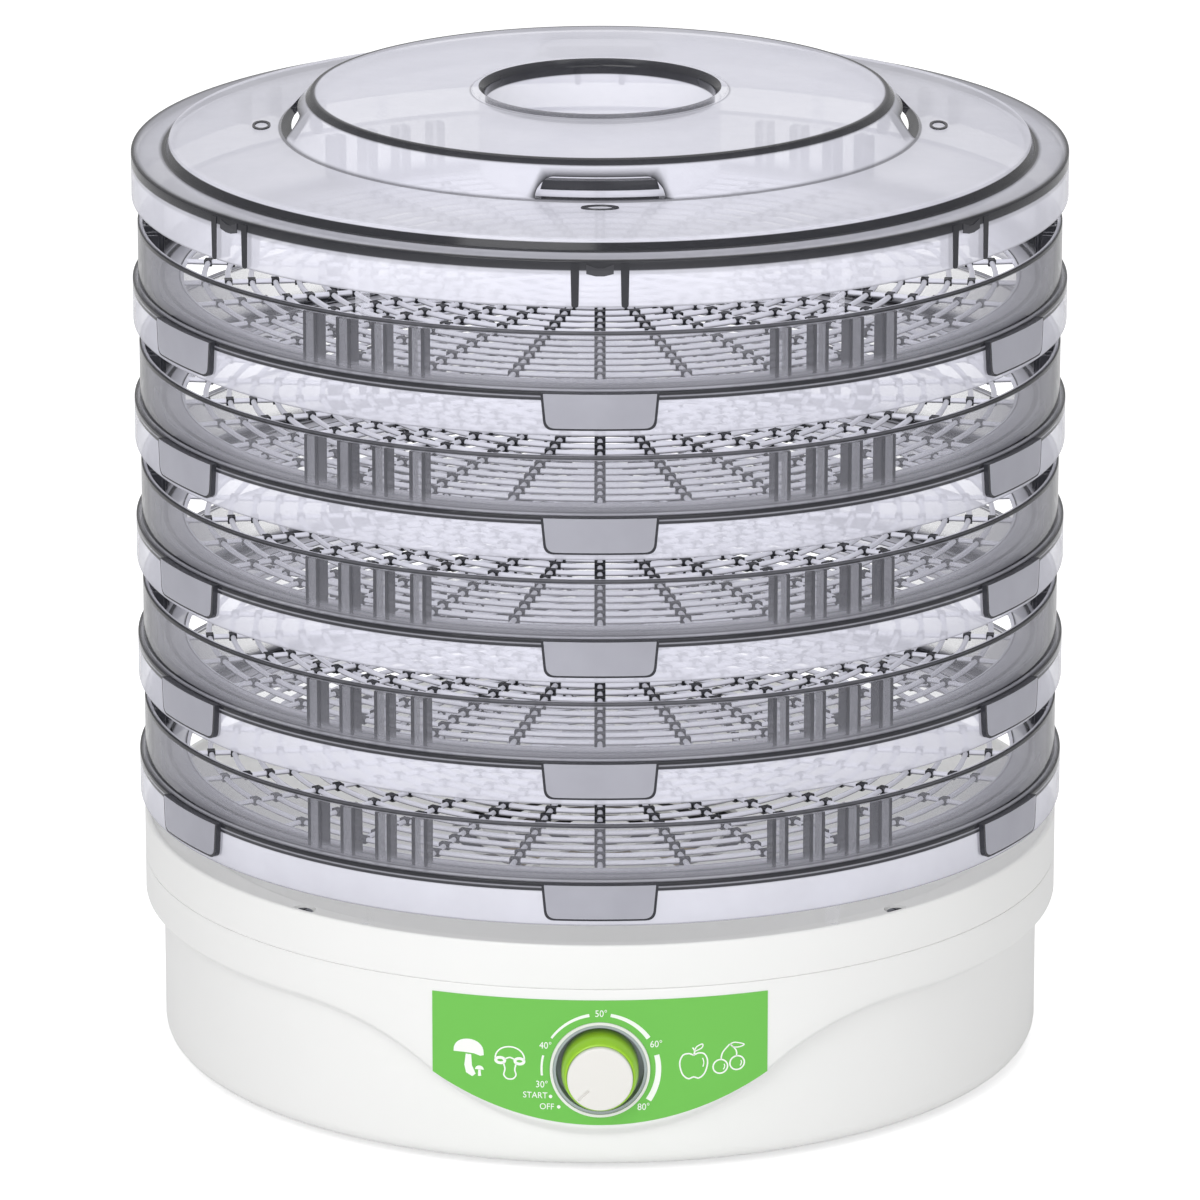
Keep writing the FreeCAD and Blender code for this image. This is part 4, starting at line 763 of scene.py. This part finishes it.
def lid_outline(shoulder, foot, plateau):
    """Skirt, shoulder, plate, cone, plateau and chimney, then back along the inside."""
    wall = LID_WALL
    step = SKIRT - 13.6
    lip = CHIMNEY + 2.5
    bore = CHIMNEY - wall
    base = shoulder - LID_SKIRT
    # Tones paint dark reflections along the lid's edges, steps, cone and chimney.
    return painted([
        (SKIRT - wall, base, 0.3, 0, 0.3), (SKIRT, base, 0.5, 0, 0.4), (SKIRT, base + 0.9),
        (SKIRT, shoulder - 5.4), (SKIRT, shoulder - 4.6, 0.35), (SKIRT, shoulder - 3.8, 0.4),
        (SKIRT, shoulder - 3.3, 0.97), (SKIRT, shoulder - 1.6, 0.98), (SKIRT, shoulder, 0.98, 0, 1.4),
        (SKIRT - 2.6, shoulder, 0.45), (SKIRT - 9.5, shoulder, 0.25), (SKIRT - 11, shoulder, 0.95),
        (SKIRT - 12, shoulder, 0.98, 0, 0.5), (step + 0.4, shoulder + 2.7, 0.98),
        # Negative tone and side here paint a white highlight line along the top of the step.
        (step + 0.2, shoulder + 3.1, -0.3, -1.0), (step, shoulder + 4.0, -0.3, -1.0, 0.6),
        # Tones rising towards the cone's foot paint a grey band of shade on the plate.
        (step - 2.4, shoulder + 4.1), (CONE_FOOT + 16.0, foot - 1.6, 0.04),
        (CONE_FOOT + 3.0, foot - 0.3, 0.12), (CONE_FOOT + 0.8, foot - 0.1, 0.16),
        (CONE_FOOT, foot, 0.75, 0, 0.7), (CONE_FOOT - 0.9, foot + 1.1, 0.02),
        (CONE_HEAD + 2.1, plateau - 2.4, 0.04), (CONE_HEAD + 1.6, plateau - 1.8, 0.97),
        (CONE_HEAD, plateau, 0.98, 0, 0.8), (CONE_HEAD - 1.3, plateau, 0.9),
        (CONE_HEAD - 2.0, plateau), (lip + wall, plateau, 0.02, 0, 1.0),
        (lip + 0.5, plateau + 0.2, 0.6), (lip, plateau + 0.5, -0.9),
        (lip, plateau + 1.6, -0.9, 0, 0.8), (CHIMNEY + 0.5, plateau + 1.6, -0.9),
        (CHIMNEY, plateau + 1.6, 0.97, 0, 0.5), (bore, plateau - 0.4, 0.98, 0, 0.8),
        (bore, plateau - 3.4, 0.97), (bore, plateau - 4.0, 0.04), (bore, plateau - 12.0, 0.1),
        (bore, plateau - 28.0, 0.12), (bore, plateau - 30.0, 0.55, 0, 0.3),
        (CHIMNEY, plateau - 30.0, 0.55, 0, 0.3), (CHIMNEY, plateau - 28.0, 0.08),
        (CHIMNEY, plateau - wall, 0.05, 0, 0.8), (CONE_HEAD - 1.0, plateau - wall, 0.1, 0, 0.6),
        (CONE_FOOT - wall, foot - wall, 0.2, 0, 0.6), (step - wall, shoulder + 1.8, 0.5, 0, 0.8),
        (SKIRT - 14, shoulder - wall, 0.7, 0, 0.5), (SKIRT - 4, shoulder - wall, 0.3),
        (SKIRT - wall, shoulder - wall, 0.6, 0, 0.8), (SKIRT - wall, shoulder - 5.0)])


def make_lid():
    shoulder = LID_TIP + LID_LEG
    foot = shoulder + 6.9
    form = turn(lid_outline(shoulder, foot, LID_TOP - 1.6))
    sill = foot + 0.7
    vent = vent_outline(VENT_HALF, sill, sill + VENT_TALL, 2.4)
    cutter = Form().around(prism(vent, CONE_HEAD - 9, CONE_FOOT + 3), QUARTERS)
    form = carve(form, cutter, "lid_vents")
    paint_vents(form, sill)
    for x in (-8.4, 8.4):
        form.around(make_rib(x, shoulder - LID_SKIRT, shoulder - LID_WALL / 2), RIB_ANGLES)
    form.around(make_bow(shoulder), RIB_ANGLES)
    form.around(make_lintel(sill), QUARTERS)
    form.around(make_oval(CONE_FOOT + 6.5, foot - 0.35, 6.6, 3.3), QUARTERS)
    fins = repeated(make_fin(LID_LEG, LID_SKIRT, LID_WALL), 6, "clear_lid")
    form.join(fins, Matrix.Translation((0, 0, shoulder)))
    finish_piece("lid_clear", form, "lid_body", "clear_lid", ["lid"])


def paint_vents(form, sill):
    """Painted dark reflections round the edges of each vent."""
    slack = 0.1
    for index, point in enumerate(form.points):
        on_cone = CONE_HEAD - 3 < math.hypot(point.x, point.y) < CONE_FOOT + 1
        in_height = sill - slack < point.z < sill + VENT_TALL + slack
        if on_cone and in_height and min(abs(point.x), abs(point.y)) <= VENT_HALF + slack:
            form.tones[index] = 0.98


def make_lintel(sill):
    """The stiffening bar inside the lid over a vent, darkened by a painted reflection tone."""
    low_z, high_z = sill + 0.8, sill + 4.2
    outline = [(-20.5, low_z), (20.5, low_z), (19.5, high_z), (-19.5, high_z)]
    return bent_plate(outline, CONE_HEAD - 3, CONE_HEAD + 0.5, 12, tone=0.95)


def make_rib(x, bottom, top):
    """A tapered rib inside the lid's skirt with a round lower end."""
    outer = SKIRT + 0.25
    outline = rounded([(x - 1.2, bottom, 1.1), (x + 1.2, bottom, 1.1), (x + 1.5, top, 0.2),
                       (x - 1.5, top, 0.2)])
    # The edge tone paints a dark reflection round the rib.
    return bent_plate(outline, outer - 6.0, outer, 1, 0.4, 0.98, 0.5)


def make_bow(shoulder):
    """The small bow-shaped catch between two ribs."""
    outline = [(-4.6, -1.3), (-1.2, -2.6), (1.2, -2.6), (4.6, -1.3), (4.6, -4.6), (1.4, -5.4),
               (-1.4, -5.4), (-4.6, -4.6)]
    shape = [(x, shoulder + z) for x, z in outline]
    # The edge tone paints a dark reflection round the catch.
    return bent_plate(shape, SKIRT - 3, SKIRT + 0.3, 1, 0.5, 0.95, 0.3)


def make_oval(radius, height, wide, deep):
    """A flat oval ring lying on the lid."""
    steps = 28
    lines = ((1.0, 0.0), (0.97, 0.45), (0.72, 0.45), (0.66, 0.0))
    points = []
    for scale, lift in lines:
        line = round_line(steps, wide * scale, deep * scale, z=-radius)
        points += [(x, y, height + lift) for x, y in line]
    # The whole ring takes a dark painted reflection tone.
    return Form().add(points, web(steps, len(lines)), 0.95)


# ---- base

BIB_HALF = 104.0
BIB_LOW = SHELL_BOTTOM + 12.4
BIB_HIGH = SHELL_BOTTOM + 48.6
BIB_ROUND = 95.0
STEP_LOW = SHELL_BOTTOM + 48
FOOT_ROUND = 6.0
BLEND = 3.0


def bib_edge(x):
    """Height of the front panel's lower edge: one arc in the middle and one at each side."""
    rise = BIB_HIGH - BIB_LOW
    reach = (BIB_HALF ** 2 + rise ** 2) / (rise * 2)
    slope = math.asin(BIB_HALF / reach)
    x = abs(x)
    if x < BIB_ROUND * math.sin(slope):
        return BIB_LOW + BIB_ROUND - math.sqrt(BIB_ROUND ** 2 - x * x)
    if x < BIB_HALF:
        high_round = reach - BIB_ROUND
        return BIB_HIGH - high_round + math.sqrt(high_round ** 2 - (BIB_HALF - x) ** 2)
    return BIB_HIGH


def housing_column(x, y):
    """Points up the shell's outer face in the direction (x, y)."""
    edge = bib_edge(WALL_RADIUS * x) if y < 0 else BIB_HIGH
    edge = min(edge + 2.4, STEP_LOW + 3)
    start = SHELL_BOTTOM + FOOT_ROUND
    top = PARTING - 0.5
    rows = [(radius, SHELL_BOTTOM) for radius in (0.0, 60.0, 120.0, WALL_RADIUS - FOOT_ROUND)]
    for step in range(1, 7):
        bend = math.pi / 2 * step / 6
        rows.append((WALL_RADIUS - FOOT_ROUND * (1 - math.sin(bend)),
                     start - FOOT_ROUND * math.cos(bend)))
    rows += [(WALL_RADIUS, start + (edge - BLEND - start) * step / 5) for step in range(1, 5)]
    for step in range(11):
        t = step / 10
        smooth = t * t * (3 - 2 * t)
        rows.append((WALL_RADIUS + (RIM_RADIUS - WALL_RADIUS) * smooth, edge + BLEND * (2 * t - 1)))
    rows += [(RIM_RADIUS, edge + BLEND + (top - edge - BLEND) * step / 4) for step in range(1, 5)]
    rows += [(RIM_RADIUS - 0.15, PARTING - 0.15), (RIM_RADIUS - 0.6, PARTING)]
    return [(radius * x, radius * y, z) for radius, z in rows]


def make_housing():
    """The lower shell, swept so that its front panel flows into the collar."""
    columns = 288
    points = [p for x, y in round_line(columns, 1.0) for p in housing_column(x, y)]
    skin = Form().add(points, web(len(points) // columns, columns, False))
    form = form_of(thicken("housing_skin", skin, SHELL_WALL))
    cutter = Form().join(prism(round_line(96, CUP_RADIUS + 0.1), -12.0, 3.0), ON_DIAL)
    cutter.join(prism(round_line(48, 8.0), -10.0, 10.0),
                Matrix.Translation((0, WALL_RADIUS, GLAND_Z)))
    slot = rounded([(34.0, -3.0, 2.9), (58.0, -3.0, 2.9), (58.0, 3.0, 2.9), (34.0, 3.0, 2.9)])
    cutter.join(repeated(upright(slot, SHELL_BOTTOM - 2, SHELL_BOTTOM + 6), 12, "white_shell"))
    form = carve(form, cutter, "housing_holes")
    finish_piece("housing_shell", form, "base", "white_shell", ["base_housing"])


def make_deck():
    """The upper shell with its rim, ledge and bowl, and four screws in wells."""
    wall = SHELL_WALL
    ledge = DECK_RIM - 3.3
    rim_inside = RIM_RADIUS - 2.2
    bowl_top = rim_inside - 13
    bowl_edge = bowl_top - 4
    bowl_foot = 92.0
    floor = ledge - 9.5
    duct = 58.1
    screw_angles = (48, 132, 228, 312)
    form = turn(rounded([
        (RIM_RADIUS - wall, PARTING, 0.2), (RIM_RADIUS, PARTING, 0.6), (RIM_RADIUS, DECK_RIM, 0.9),
        (rim_inside, DECK_RIM, 0.8), (rim_inside, ledge, 1.2), (bowl_top, ledge, 1.6),
        (bowl_edge, ledge - 3, 2.0), (bowl_foot, floor, 6.0), (duct, floor, 0.5),
        (duct, floor - wall, 0.3), (bowl_foot, floor - wall, 6.0), (bowl_edge, ledge - 3 - wall, 1.5),
        (bowl_top, ledge - wall, 1.0), (RIM_RADIUS - wall, ledge - wall, 0.4)]))
    well = upright(round_line(32, 4.4, x=SCREW_CIRCLE), ledge - 1.5, ledge + 2)
    form = carve(form, Form().around(well, screw_angles), "deck_wells")
    finish_piece("deck_shell", form, "base", "white_shell", ["deck_cover"])
    heads = Form().around(make_screw_head(ledge), screw_angles)
    finish_piece("deck_screw_heads", heads, "base", "zinc_steel", ["deck_screws"], sharp=35)


def make_screw_head(ledge):
    """A domed head with a cross recess, on its shank."""
    outline = [(0.0, -15.0), (0.9, -14.0), (1.6, -12.0), (1.6, -1.5), (3.6, -1.45), (3.6, -1.0),
               (3.2, -0.55), (2.4, -0.2), (1.2, -0.03), (0.0, 0.0)]
    arm, half, depth = 2.1, 0.38, -1.1
    cross = block(-arm, arm, -half, half, depth, 1.0).join(block(-half, half, -arm, arm, depth, 1.0))
    screw = carve(turn(outline, 40), cross, "screw_cross")
    return Form().join(screw, Matrix.Translation((SCREW_CIRCLE, 0, ledge)))


# ---- label and its print

LABEL_HALF = high("panel_label").x
LABEL_LOW = SHELL_BOTTOM + 18.3
LABEL_CORNER = SHELL_BOTTOM + 34.3
LABEL_TOP = high("panel_label").z


def make_label():
    """The green film, straight at its sides and curved below, open round the dial."""
    sag = LABEL_CORNER - LABEL_LOW
    radius = (LABEL_HALF ** 2 + sag ** 2) / (sag * 2)
    lean = math.degrees(math.asin(LABEL_HALF / radius))
    outline = round_line(32, radius, z=LABEL_LOW + radius, start=-90 - lean, end=-90 + lean)
    outline += [(LABEL_HALF, LABEL_TOP), (-LABEL_HALF, LABEL_TOP)]
    bend = [(LABEL_FACE * math.asin(x / LABEL_FACE), z) for x, z in outline]
    form = bent_plate(bend, RIM_RADIUS - 0.5, LABEL_FACE, 48)
    hole = Form().join(prism(round_line(96, CUP_RADIUS + 1.1), -6.0, 6.0), ON_DIAL)
    form = carve(form, hole, "label_hole")
    finish_piece("label_film", form, "base", "green_label", ["panel_label"])


class Print:
    """White marks on the label, drawn flat in millimetres from the dial's centre."""

    def __init__(self):
        self.form = Form()

    def flat(self, outline):
        """A filled outline, laid on the curved label with a little thickness."""
        bm = bmesh.new()
        bm.faces.new([bm.verts.new((x, z, 0)) for x, z in outline])
        bmesh.ops.triangulate(bm, faces=bm.faces[:])
        self.lay([v.co.copy() for v in bm.verts], [[v.index for v in f.verts] for f in bm.faces])
        bm.free()

    def lay(self, points, faces):
        rise = LABEL_FACE + 0.14
        laid = [(DIAL_X + x, DIAL_Z + z) for x, z, *_ in points]
        self.form.add([(x, -math.sqrt(rise * rise - x * x), z) for x, z in laid], faces)

    def band(self, line, widths, closed=False):
        """A ribbon along a line of points with a width at each."""
        count = len(line)
        left, right = [], []
        for index, (x, z) in enumerate(line):
            if closed:
                ahead, behind = line[(index + 1) % count], line[index - 1]
            else:
                ahead, behind = line[min(index + 1, count - 1)], line[max(index - 1, 0)]
            along = Vector((ahead[0] - behind[0], ahead[1] - behind[1])).normalized()
            half = (widths[index] if isinstance(widths, list) else widths) / 2
            left.append((x - along.y * half, z + along.x * half))
            right.append((x + along.y * half, z - along.x * half))
        steps = count if closed else count - 1
        faces = []
        for index in range(steps):
            ahead = (index + 1) % count
            faces.append((index, ahead, ahead + count, index + count))
        self.lay(left + right, faces)

    def arc(self, radius, start, end, width_start, width_end):
        steps = max(6, int(abs(end - start) / 3))
        change = (width_end - width_start) / steps
        self.band(round_line(steps, radius, start=start, end=end),
                  [width_start + change * step for step in range(steps + 1)])

    def loop(self, x, z, wide, tall, width, start=0, end=360):
        self.band(round_line(36, wide, tall, x, z, start, end), width, end - start >= 360)

    def dot(self, x, z, radius):
        self.flat(round_line(20, radius, x=x, z=z))

    def curve(self, points, width):
        """A ribbon along a smooth curve through the points."""
        line = []
        count = len(points)
        for index in range(count - 1):
            p0, p1 = Vector(points[max(index - 1, 0)]), Vector(points[index])
            p2, p3 = Vector(points[index + 1]), Vector(points[min(index + 2, count - 1)])
            for step in range(6):
                t = step / 6
                spot = 0.5 * (2 * p1 + (p2 - p0) * t + (2 * p0 - 5 * p1 + 4 * p2 - p3) * t * t
                              + (3 * p1 - p0 - 3 * p2 + p3) * t ** 3)
                line.append((spot.x, spot.y))
        line.append(tuple(points[-1]))
        self.band(line, width)

    def words(self, text, x, z, height):
        curve = bpy.data.curves.new("words", "FONT")
        curve.body = text
        curve.size = height / 0.7
        curve.align_x = "CENTER"
        curve.align_y = "CENTER"
        curve.resolution_u = 4
        mesh = plain_mesh(new_object("words", curve))
        points = [(v.co.x * 0.92 + x, v.co.y + z) for v in mesh.vertices]
        self.lay(points, [tuple(f.vertices) for f in mesh.polygons])


def make_print():
    ink = Print()
    for start, end, thin, thick in ((187, 166, 0.75, 0.75), (146, 100.5, 0.75, 1.1),
                                    (79.5, 34, 1.15, 1.6), (14.5, -34, 1.8, 2.1)):
        ink.arc(20.1, start, end, thin, thick)
    for text, x, z, height in (("30°", -20.0, -5.8, 2.4), ("40°", -18.7, 8.4, 2.4),
                               ("50°", 0.4, 20.3, 2.4), ("60°", 19.3, 8.9, 2.4),
                               ("80°", 15.0, -13.8, 2.4), ("START", -22.3, -9.8, 2.2),
                               ("OFF", -18.3, -13.8, 2.2)):
        ink.words(text, x, z, height)
    ink.dot(-17.0, -10.0, 0.62)
    ink.dot(-14.2, -13.7, 0.62)
    draw_mushrooms(ink)
    draw_fruit(ink)
    mesh = thicken("label_print", ink.form, 0.13)
    mesh.shade_flat()
    finish_piece("label_print", mesh, "base", "green_label", finish="white_print")


def draw_mushrooms(ink):
    """A filled mushroom with a small one beside it, then one in outline."""
    x, z = -45.2, 4.2
    cap = [(x - 5.2, z)]
    for step in range(1, 16):
        angle = math.pi - math.pi * step / 16
        cap.append((x + 5.2 * math.cos(angle), z + 5.0 * math.sin(angle) ** 0.8 - 0.2 * step / 16))
    cap += [(x + 5.2, z - 0.6), (x + 4.0, z - 0.9), (x + 1.8, z - 0.2), (x - 1.6, z)]
    ink.flat(cap)
    ink.flat([(x - 1.0, z - 0.6), (x + 0.9, z - 0.7), (x + 1.1, z - 4.6), (x + 2.4, z - 7.6),
              (x + 1.2, z - 8.6), (x - 0.9, z - 7.4), (x - 1.5, z - 4.6)])
    ink.flat(round_line(12, 1.5, 1.4, x + 3.7, z - 5.9, 180, 0))
    ink.flat([(x + 3.3, z - 6.0), (x + 4.1, z - 6.0), (x + 4.3, z - 8.2), (x + 3.2, z - 8.3)])
    x, z = -31.0, 3.2
    ink.loop(x, z, 5.0, 4.2, 0.5, -12, 192)
    for side in (-1, 1):
        ink.loop(x + side * 3.3, z - 0.9, 1.55, 1.0, 1.0)
        ink.curve([(x + side * 2.2, z - 1.8), (x + side * 1.7, z - 4.0), (x + side * 2.1, z - 6.0),
                   (x + side * 1.2, z - 7.3), (x, z - 7.6)], 0.5)
    ink.curve([(x - 1.9, z - 0.5), (x, z + 0.3), (x + 1.9, z - 0.5)], 0.5)


def draw_fruit(ink):
    """An apple and a pair of cherries in outline."""
    x, z = 32.2, 0.8
    shape = [(0, 3.4), (-1.6, 4.1), (-3.6, 3.7), (-4.7, 1.6), (-4.6, -1.0), (-3.6, -3.6),
             (-1.8, -5.0), (0, -4.5), (1.8, -5.0), (3.6, -3.6), (4.6, -1.0), (4.7, 1.6),
             (3.6, 3.7), (1.6, 4.1), (0, 3.4)]
    ink.curve([(x + a, z + b) for a, b in shape], 0.5)
    ink.curve([(x, z + 3.2), (x + 0.3, z + 5.0), (x - 0.4, z + 6.2)], 0.5)
    ink.curve([(x + 0.3, z + 4.9), (x + 1.0, z + 6.4), (x + 3.0, z + 7.3), (x + 2.8, z + 5.9),
               (x + 0.4, z + 4.8)], 0.4)
    ink.curve([(x + 3.1, z + 2.2), (x + 3.5, z + 0.6), (x + 3.2, z - 1.0)], 0.35)
    for a, b in ((41.4, -0.6), (47.2, 0.2)):
        ink.loop(a, b, 2.5, 2.5, 0.5)
        ink.loop(a, b, 1.5, 1.5, 0.35, -50, 30)
    ink.curve([(41.6, 1.8), (42.2, 4.4), (44.6, 7.2)], 0.45)
    ink.curve([(47.0, 2.6), (46.8, 4.8), (44.9, 7.1)], 0.45)
    ink.curve([(44.8, 7.2), (46.4, 7.7), (49.6, 6.7), (48.0, 5.9), (45.8, 6.1), (44.8, 7.2)], 0.4)


# ---- knob

def on_dial(outline, segments=96):
    """Turn (radius, outwards) about the dial's axis."""
    return Form().join(turn(outline, segments), ON_DIAL @ turned(90, "X"))


def make_knob():
    body = rounded([
        (9.5, -4.9, 0.2), (13.3, -4.9, 0.3), (13.3, 4.2, 2.0), (12.2, 8.4, 0.8), (11.4, 8.8, 0.3),
        (11.35, 7.8, 0), (0, 7.8, 0), (0, 4.0, 0), (3.05, 4.0, 0), (3.05, -0.8, 0.3),
        (9.5, -0.8, 0.6)], 5)
    finish_piece("knob_grip", on_dial(body), "dial", "green_knob", ["knob_body"], sharp=35)
    cap = rounded([(0, 7.8, 0), (11.3, 7.8, 0.1), (11.3, 10.6, 0.7), (7.0, 10.8, 0), (0, 10.85, 0)],
                  5)
    line = rounded([(5.4, -0.5, 0.4), (10.6, -0.5, 0.4), (10.6, 0.5, 0.4), (5.4, 0.5, 0.4)], 3)
    groove = Form().join(prism(line, 10.1, 12.0), ON_DIAL @ turned(-225, "Y"))
    form = carve(on_dial(cap), groove, "pointer")
    finish_piece("knob_face", form, "dial", "white_trim", ["knob_cap"], "knob_white", 35)


# ---- stage, light and camera

FLOOR_TOP, FLOOR_BOTTOM, FLOOR_WIDE = -0.02, -5.0, 5000.0
FLOOR_GLOW = 0.5
WORLD_LIGHT = 0.5
LIGHTS_AIM = Vector((0, 0, 0.17))
CAMERA_PLACE = (0, -3.0, 1.057)
CAMERA_TILT = 73.37
CAMERA_LENS = 262.8


def make_stage():
    outline = [(0.0, FLOOR_BOTTOM), (FLOOR_WIDE, FLOOR_BOTTOM), (FLOOR_WIDE, FLOOR_TOP),
               (0.0, FLOOR_TOP)]
    item = new_object("floor", write_mesh("floor", turn(outline, 96)))
    paint = Paint("floor_paper")
    slow, fine = paint.variation(1.5, 300.0)
    seen = paint.add("ShaderNodeLightPath").outputs["Is Camera Ray"]
    paint.shade(Base_Color=paint.mix(slow, tint(244, 244, 245), tint(250, 250, 250)), Roughness=0.9,
                Emission_Color=paint.mix(seen, (0.05, 0.05, 0.05, 1), (1, 1, 1, 1)),
                Emission_Strength=FLOOR_GLOW)
    paint.bump(fine, 0.02, 0.0005)
    item.data.materials.append(paint.material)
    world = bpy.data.worlds.new("studio")
    world.use_nodes = True
    light = world.node_tree.nodes["Background"].inputs
    light[0].default_value = (1, 1, 1, 1)
    light[1].default_value = WORLD_LIGHT
    bpy.context.scene.world = world
    for name, place, wide, power in (("key", (-0.9, -2.4, 1.5), 1.6, 28),
                                     ("fill", (0.7, -2.4, 0.8), 1.4, 10),
                                     ("top", (0.0, 0.6, 2.4), 2.0, 17)):
        lamp = bpy.data.lights.new(name, "AREA")
        lamp.size = wide
        lamp.energy = power
        item = new_object(name, lamp)
        item.location = place
        aim = LIGHTS_AIM - Vector(place)
        item.rotation_euler = aim.to_track_quat("-Z", "Y").to_euler()


def make_camera():
    camera = new_object("camera", bpy.data.cameras.new("camera"))
    camera.data.sensor_width = 36
    camera.data.lens = CAMERA_LENS
    camera.data.clip_end = 50
    camera.location = CAMERA_PLACE
    camera.rotation_euler = (math.radians(CAMERA_TILT), 0, 0)
    bpy.context.scene.camera = camera


for part in frame["record"]["subparts"]:
    node = frame["nodes"][part["node"]]
    node.data.materials.clear()
    node.data.materials.append(FINISHES[part["material_slot"]])

make_trays()
make_lid()
make_housing()
make_deck()
make_label()
make_print()
make_knob()
make_stage()
make_camera()

bpy.context.scene.view_settings.view_transform = "Standard"
bpy.context.scene.cycles.transparent_max_bounces = 40
bpy.context.scene.cycles.max_bounces = 8
